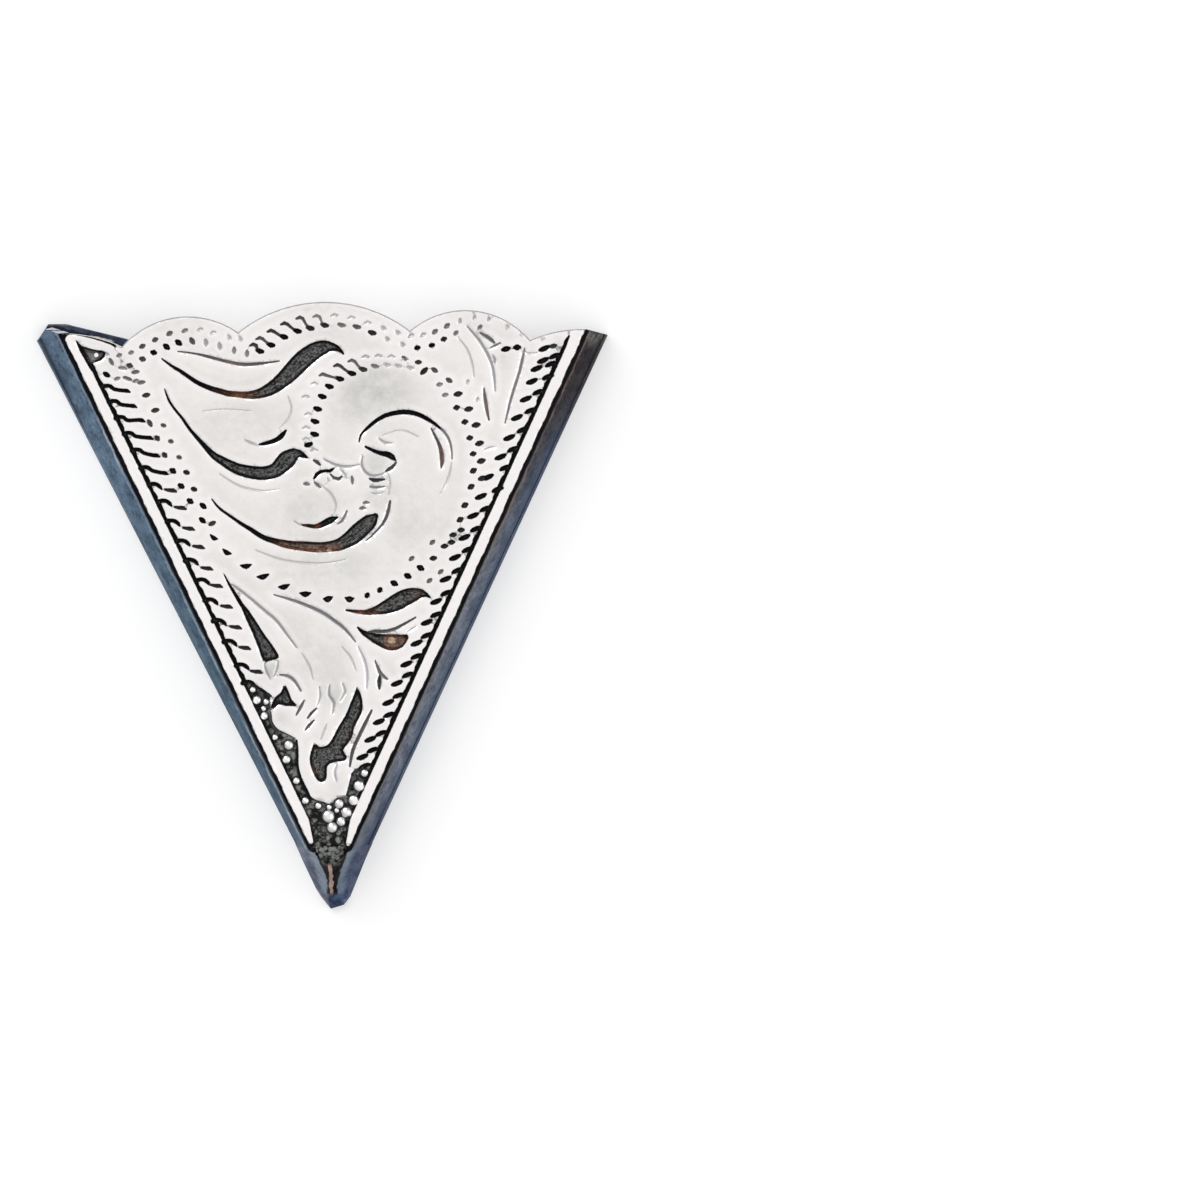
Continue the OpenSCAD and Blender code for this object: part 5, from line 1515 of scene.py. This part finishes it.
def satin_back():
    """The plain back, brushed lengthwise, with the haze of wear."""
    material, f, shader = new_finish("satin_back")
    if f is None:
        return material
    c = colours()
    mottle = f.group(soft_mottle(), Scale=260.0).outputs[0]
    brushed = f.group(fine_scratches(), Scale=5200.0, Turn=0.0).outputs[0]
    crossed = f.group(fine_scratches(), Scale=1900.0, Turn=1.1).outputs[0]
    hazed, rubbed = (0.42, 0.41, 0.39, 1.0), (0.8, 0.79, 0.77, 1.0)
    body = f.mix(f.math("MULTIPLY", mottle, 0.5), tuple(c.back), hazed)
    body = f.mix(f.math("MULTIPLY", crossed, 0.25), body, rubbed)
    f.put(shader.inputs["Base Color"], body)
    shader.inputs["Metallic"].default_value = 1.0
    f.put(shader.inputs["Roughness"], f.math("MULTIPLY_ADD", mottle, 0.12, 0.3))
    relief = f.math("ADD", brushed, f.math("MULTIPLY", crossed, 0.6))
    f.bump(shader, relief, strength=0.25, distance=0.00003)
    return material


def cut_ends():
    """The sheet's sawn and filed ends, dulled by handling."""
    material, f, shader = new_finish("filed_ends")
    if f is None:
        return material
    mottle = f.group(soft_mottle(), Scale=1200.0).outputs[0]
    filed = f.group(fine_scratches(), Scale=6000.0, Turn=1.5).outputs[0]
    up = f.math("MULTIPLY", f.node("ShaderNodeSeparateXYZ", Vector=f.place()).outputs[2], 1 / MM)
    up = f.math("MULTIPLY_ADD", f.math("SUBTRACT", mottle, 0.5), 0.2, up)
    silver, grey, blue_grey = (0.62, 0.66, 0.72, 1.0), (0.3, 0.33, 0.38, 1.0), (0.5, 0.56, 0.62, 1.0)
    navy = (0.02, 0.03, 0.06, 1.0)
    body = f.mix(f.math("MULTIPLY", mottle, 0.6), silver, grey)
    # Dark at the fold and in a band further up, by height in millimetres
    body = f.mix(f.step(up, 0.65, 0.5), body, navy)
    body = f.mix(f.math("MULTIPLY", f.step(up, 1.95, 2.05), f.step(up, 2.4, 2.3)), body, navy)
    body = f.mix(f.step(up, 2.3, 2.4), body, blue_grey)
    f.put(shader.inputs["Base Color"], body)
    shader.inputs["Metallic"].default_value = 0.8
    f.put(shader.inputs["Roughness"], f.math("MULTIPLY_ADD", mottle, 0.1, 0.35))
    f.bump(shader, filed, strength=0.3, distance=0.00003)
    return material


def inside_tarnish_and_painted_light(p, side):
    """The unpolished inside, dark with age, with a navy edge at the lip's end, a cream painted highlight and a
    near-black painted shadow beside it.
    """
    material, f, shader = new_finish("left_inside" if side < 0 else "right_inside")
    if f is None:
        return material
    mottle = f.group(soft_mottle(), Scale=700.0).outputs[0]
    broad = f.group(soft_mottle(), Scale=200.0).outputs[0]
    scored = f.group(fine_scratches(), Scale=2600.0, Turn=0.4).outputs[0]
    apart = f.node("ShaderNodeSeparateXYZ", Vector=f.place())
    x = f.math("MULTIPLY_ADD", apart.outputs[0], 1 / MM, p.middle_x)
    y = f.math("MULTIPLY_ADD", apart.outputs[1], 1 / MM, p.middle_y)
    slope = math.radians(p.lip_slope)
    end_x = p.back_x(side, p.corner_y(side)) - side * p.lip_shoulder
    from_end = f.math("SUBTRACT", p.corner_y(side) * math.cos(slope) - side * end_x * math.sin(slope),
                      f.math("SUBTRACT", f.math("MULTIPLY", y, math.cos(slope)),
                             f.math("MULTIPLY", x, side * math.sin(slope))))
    from_end = f.math("MULTIPLY_ADD", f.math("SUBTRACT", mottle, 0.5), 0.1, from_end)
    slate, grey, dark_slate = (0.04, 0.05, 0.065, 1.0), (0.085, 0.09, 0.095, 1.0), (0.012, 0.018, 0.03, 1.0)
    near_black, cream = (0.008, 0.009, 0.014, 1.0), (0.55, 0.5, 0.42, 1.0)
    navy, dark_navy = (0.03, 0.045, 0.08, 1.0), (0.012, 0.018, 0.035, 1.0)
    body = f.mix(broad, slate, grey)
    body = f.mix(f.math("MULTIPLY", mottle, 0.65), body, dark_slate)
    # A near-black painted shadow where the face's edge shades the lip
    body = f.mix(f.step(from_end, 1.3, 0.6), body, near_black)
    across = f.math("MULTIPLY", x, side)
    # The navy edge is wider towards the middle of the piece
    reach = f.step(across, 14.2, 12.6, 0.16, 0.34)
    in_navy = f.step(f.math("SUBTRACT", from_end, reach), 0.04, -0.04)
    body = f.mix(in_navy, body, f.mix(mottle, navy, dark_navy))
    # A cream band near the lip's end, a painted highlight
    highlight_band = f.math("MULTIPLY", f.step(from_end, 0.2, 0.25), f.step(from_end, 0.42, 0.36))
    highlight_band = f.math("MULTIPLY", highlight_band, f.math("MULTIPLY", f.step(across, 13.1, 13.4), f.step(across, 14.8, 14.4)))
    body = f.mix(highlight_band, body, cream)
    f.put(shader.inputs["Base Color"], body)
    shader.inputs["Metallic"].default_value = 0.6
    shader.inputs["Specular IOR Level"].default_value = 0.25
    f.put(shader.inputs["Roughness"], f.math("MULTIPLY_ADD", mottle, 0.2, 0.4))
    relief = f.math("ADD", scored, f.math("MULTIPLY", mottle, 0.6))
    f.bump(shader, relief, strength=0.3, distance=0.00005)
    return material


def turned_steel():
    """The set screw's steel."""
    material, f, shader = new_finish("turned_steel")
    if f is None:
        return material
    c = colours()
    mottle = f.group(soft_mottle(), Scale=900.0).outputs[0]
    turned = f.group(fine_scratches(), Scale=7000.0, Turn=0.8).outputs[0]
    dull_steel = (0.22, 0.21, 0.2, 1.0)
    body = f.mix(mottle, tuple(c.steel), dull_steel)
    f.put(shader.inputs["Base Color"], body)
    shader.inputs["Metallic"].default_value = 1.0
    f.put(shader.inputs["Roughness"], f.math("MULTIPLY_ADD", turned, 0.15, 0.28))
    f.bump(shader, turned, strength=0.25, distance=0.00003)
    return material


class COLLARTIP_OT_set_stage(bpy.types.Operator):
    """Lay out the pale floor, the soft lights and the camera"""

    bl_idname = "collar_tip.set_stage"
    bl_label = "Stage"

    def execute(self, context):
        scene = context.scene
        scene.view_settings.view_transform = "Standard"
        begin()
        bpy.ops.mesh.primitive_plane_add(size=6.0, location=(0, 0, 0))
        floor = context.object
        floor.name = "floor"
        material, f, shader = new_finish("pale_floor")
        f.put(shader.inputs["Base Color"], tuple(colours().floor))
        shader.inputs["Roughness"].default_value = 0.9
        # A faint glow of its own makes the floor as white as the photo's
        shader.inputs["Emission Color"].default_value = (1.0, 1.0, 1.0, 1.0)
        shader.inputs["Emission Strength"].default_value = 0.345
        floor.data.materials.append(material)
        world = bpy.data.worlds.new("soft_room")
        scene.world = world
        world.use_nodes = True
        tree = world.node_tree
        f = Finish(tree)
        background = tree.nodes["Background"]
        up = f.node("ShaderNodeSeparateXYZ", Vector=f.node("ShaderNodeTexCoord").outputs["Generated"]).outputs[2]
        high = f.math("POWER", f.math("MAXIMUM", up, 0.0), 3.0)
        round_about, overhead = (0.52, 0.53, 0.55, 1.0), (1.06, 1.05, 1.04, 1.0)
        sky = f.mix(high, round_about, overhead)
        f.put(background.inputs["Color"], sky)
        background.inputs["Strength"].default_value = 0.95
        for name, place, size, watts in (
                ("window_light", (-0.35, 0.5, 0.55), 0.6, 3.2), ("fill_light", (0.6, -0.1, 0.5), 0.9, 1.4)):
            light = bpy.data.lights.new(name, "AREA")
            light.size = size
            light.energy = watts
            lamp = bpy.data.objects.new(name, light)
            scene.collection.objects.link(lamp)
            lamp.location = place
            lamp.rotation_euler = (Vector((0, 0, 0)) - Vector(place)).to_track_quat("-Z", "Y").to_euler()
        camera_data = bpy.data.cameras.new("camera")
        camera = bpy.data.objects.new("camera", camera_data)
        scene.collection.objects.link(camera)
        # The photo's frame is 1200 pixels wide at 16.05 pixels a millimetre, and its tip leans half a degree
        distance, frame_mm, tilt, turn = 0.7, 1200 / 16.05, math.radians(5.5), math.radians(-0.52)
        camera_data.lens = camera_data.sensor_width * distance / (frame_mm * MM)
        camera_data.clip_start = 0.01
        aim = Vector((17.19, 0.425, 3.4)) * MM
        turned = Euler((0, 0, turn)).to_matrix() @ Euler((-tilt, 0, 0)).to_matrix()
        camera.rotation_euler = turned.to_euler()
        camera.location = aim + turned @ Vector((0, 0, distance))
        scene.camera = camera
        return {"FINISHED"}


class COLLARTIP_PT_panel(bpy.types.Panel):
    """Makes the collar tip piece by piece"""

    bl_idname = "COLLARTIP_PT_panel"
    bl_label = "Collar Tip"
    bl_space_type = "VIEW_3D"
    bl_region_type = "UI"
    bl_category = "Collar Tip"

    def draw(self, context):
        layout = self.layout
        for operator in OPERATORS:
            layout.operator(operator.bl_idname)
        for group in (context.scene.collar_tip_sizes, context.scene.collar_tip_colours):
            for name in group.__annotations__:
                layout.prop(group, name)


OPERATORS = (
    COLLARTIP_OT_engrave_face,
    COLLARTIP_OT_fold_sides,
    COLLARTIP_OT_shape_nose,
    COLLARTIP_OT_turn_set_screw,
    COLLARTIP_OT_set_stage,
)
CLASSES = (CollarTipSizes, CollarTipColours) + OPERATORS + (COLLARTIP_PT_panel,)


def register():
    for cls in CLASSES:
        bpy.utils.register_class(cls)
    bpy.types.Scene.collar_tip_sizes = bpy.props.PointerProperty(type=CollarTipSizes)
    bpy.types.Scene.collar_tip_colours = bpy.props.PointerProperty(type=CollarTipColours)


def unregister():
    del bpy.types.Scene.collar_tip_colours
    del bpy.types.Scene.collar_tip_sizes
    for cls in reversed(CLASSES):
        bpy.utils.unregister_class(cls)


def main():
    register()
    bpy.ops.collar_tip.engrave_face()
    bpy.ops.collar_tip.fold_sides()
    bpy.ops.collar_tip.shape_nose()
    bpy.ops.collar_tip.turn_set_screw()
    bpy.ops.collar_tip.set_stage()


if __name__ == "__main__":
    main()
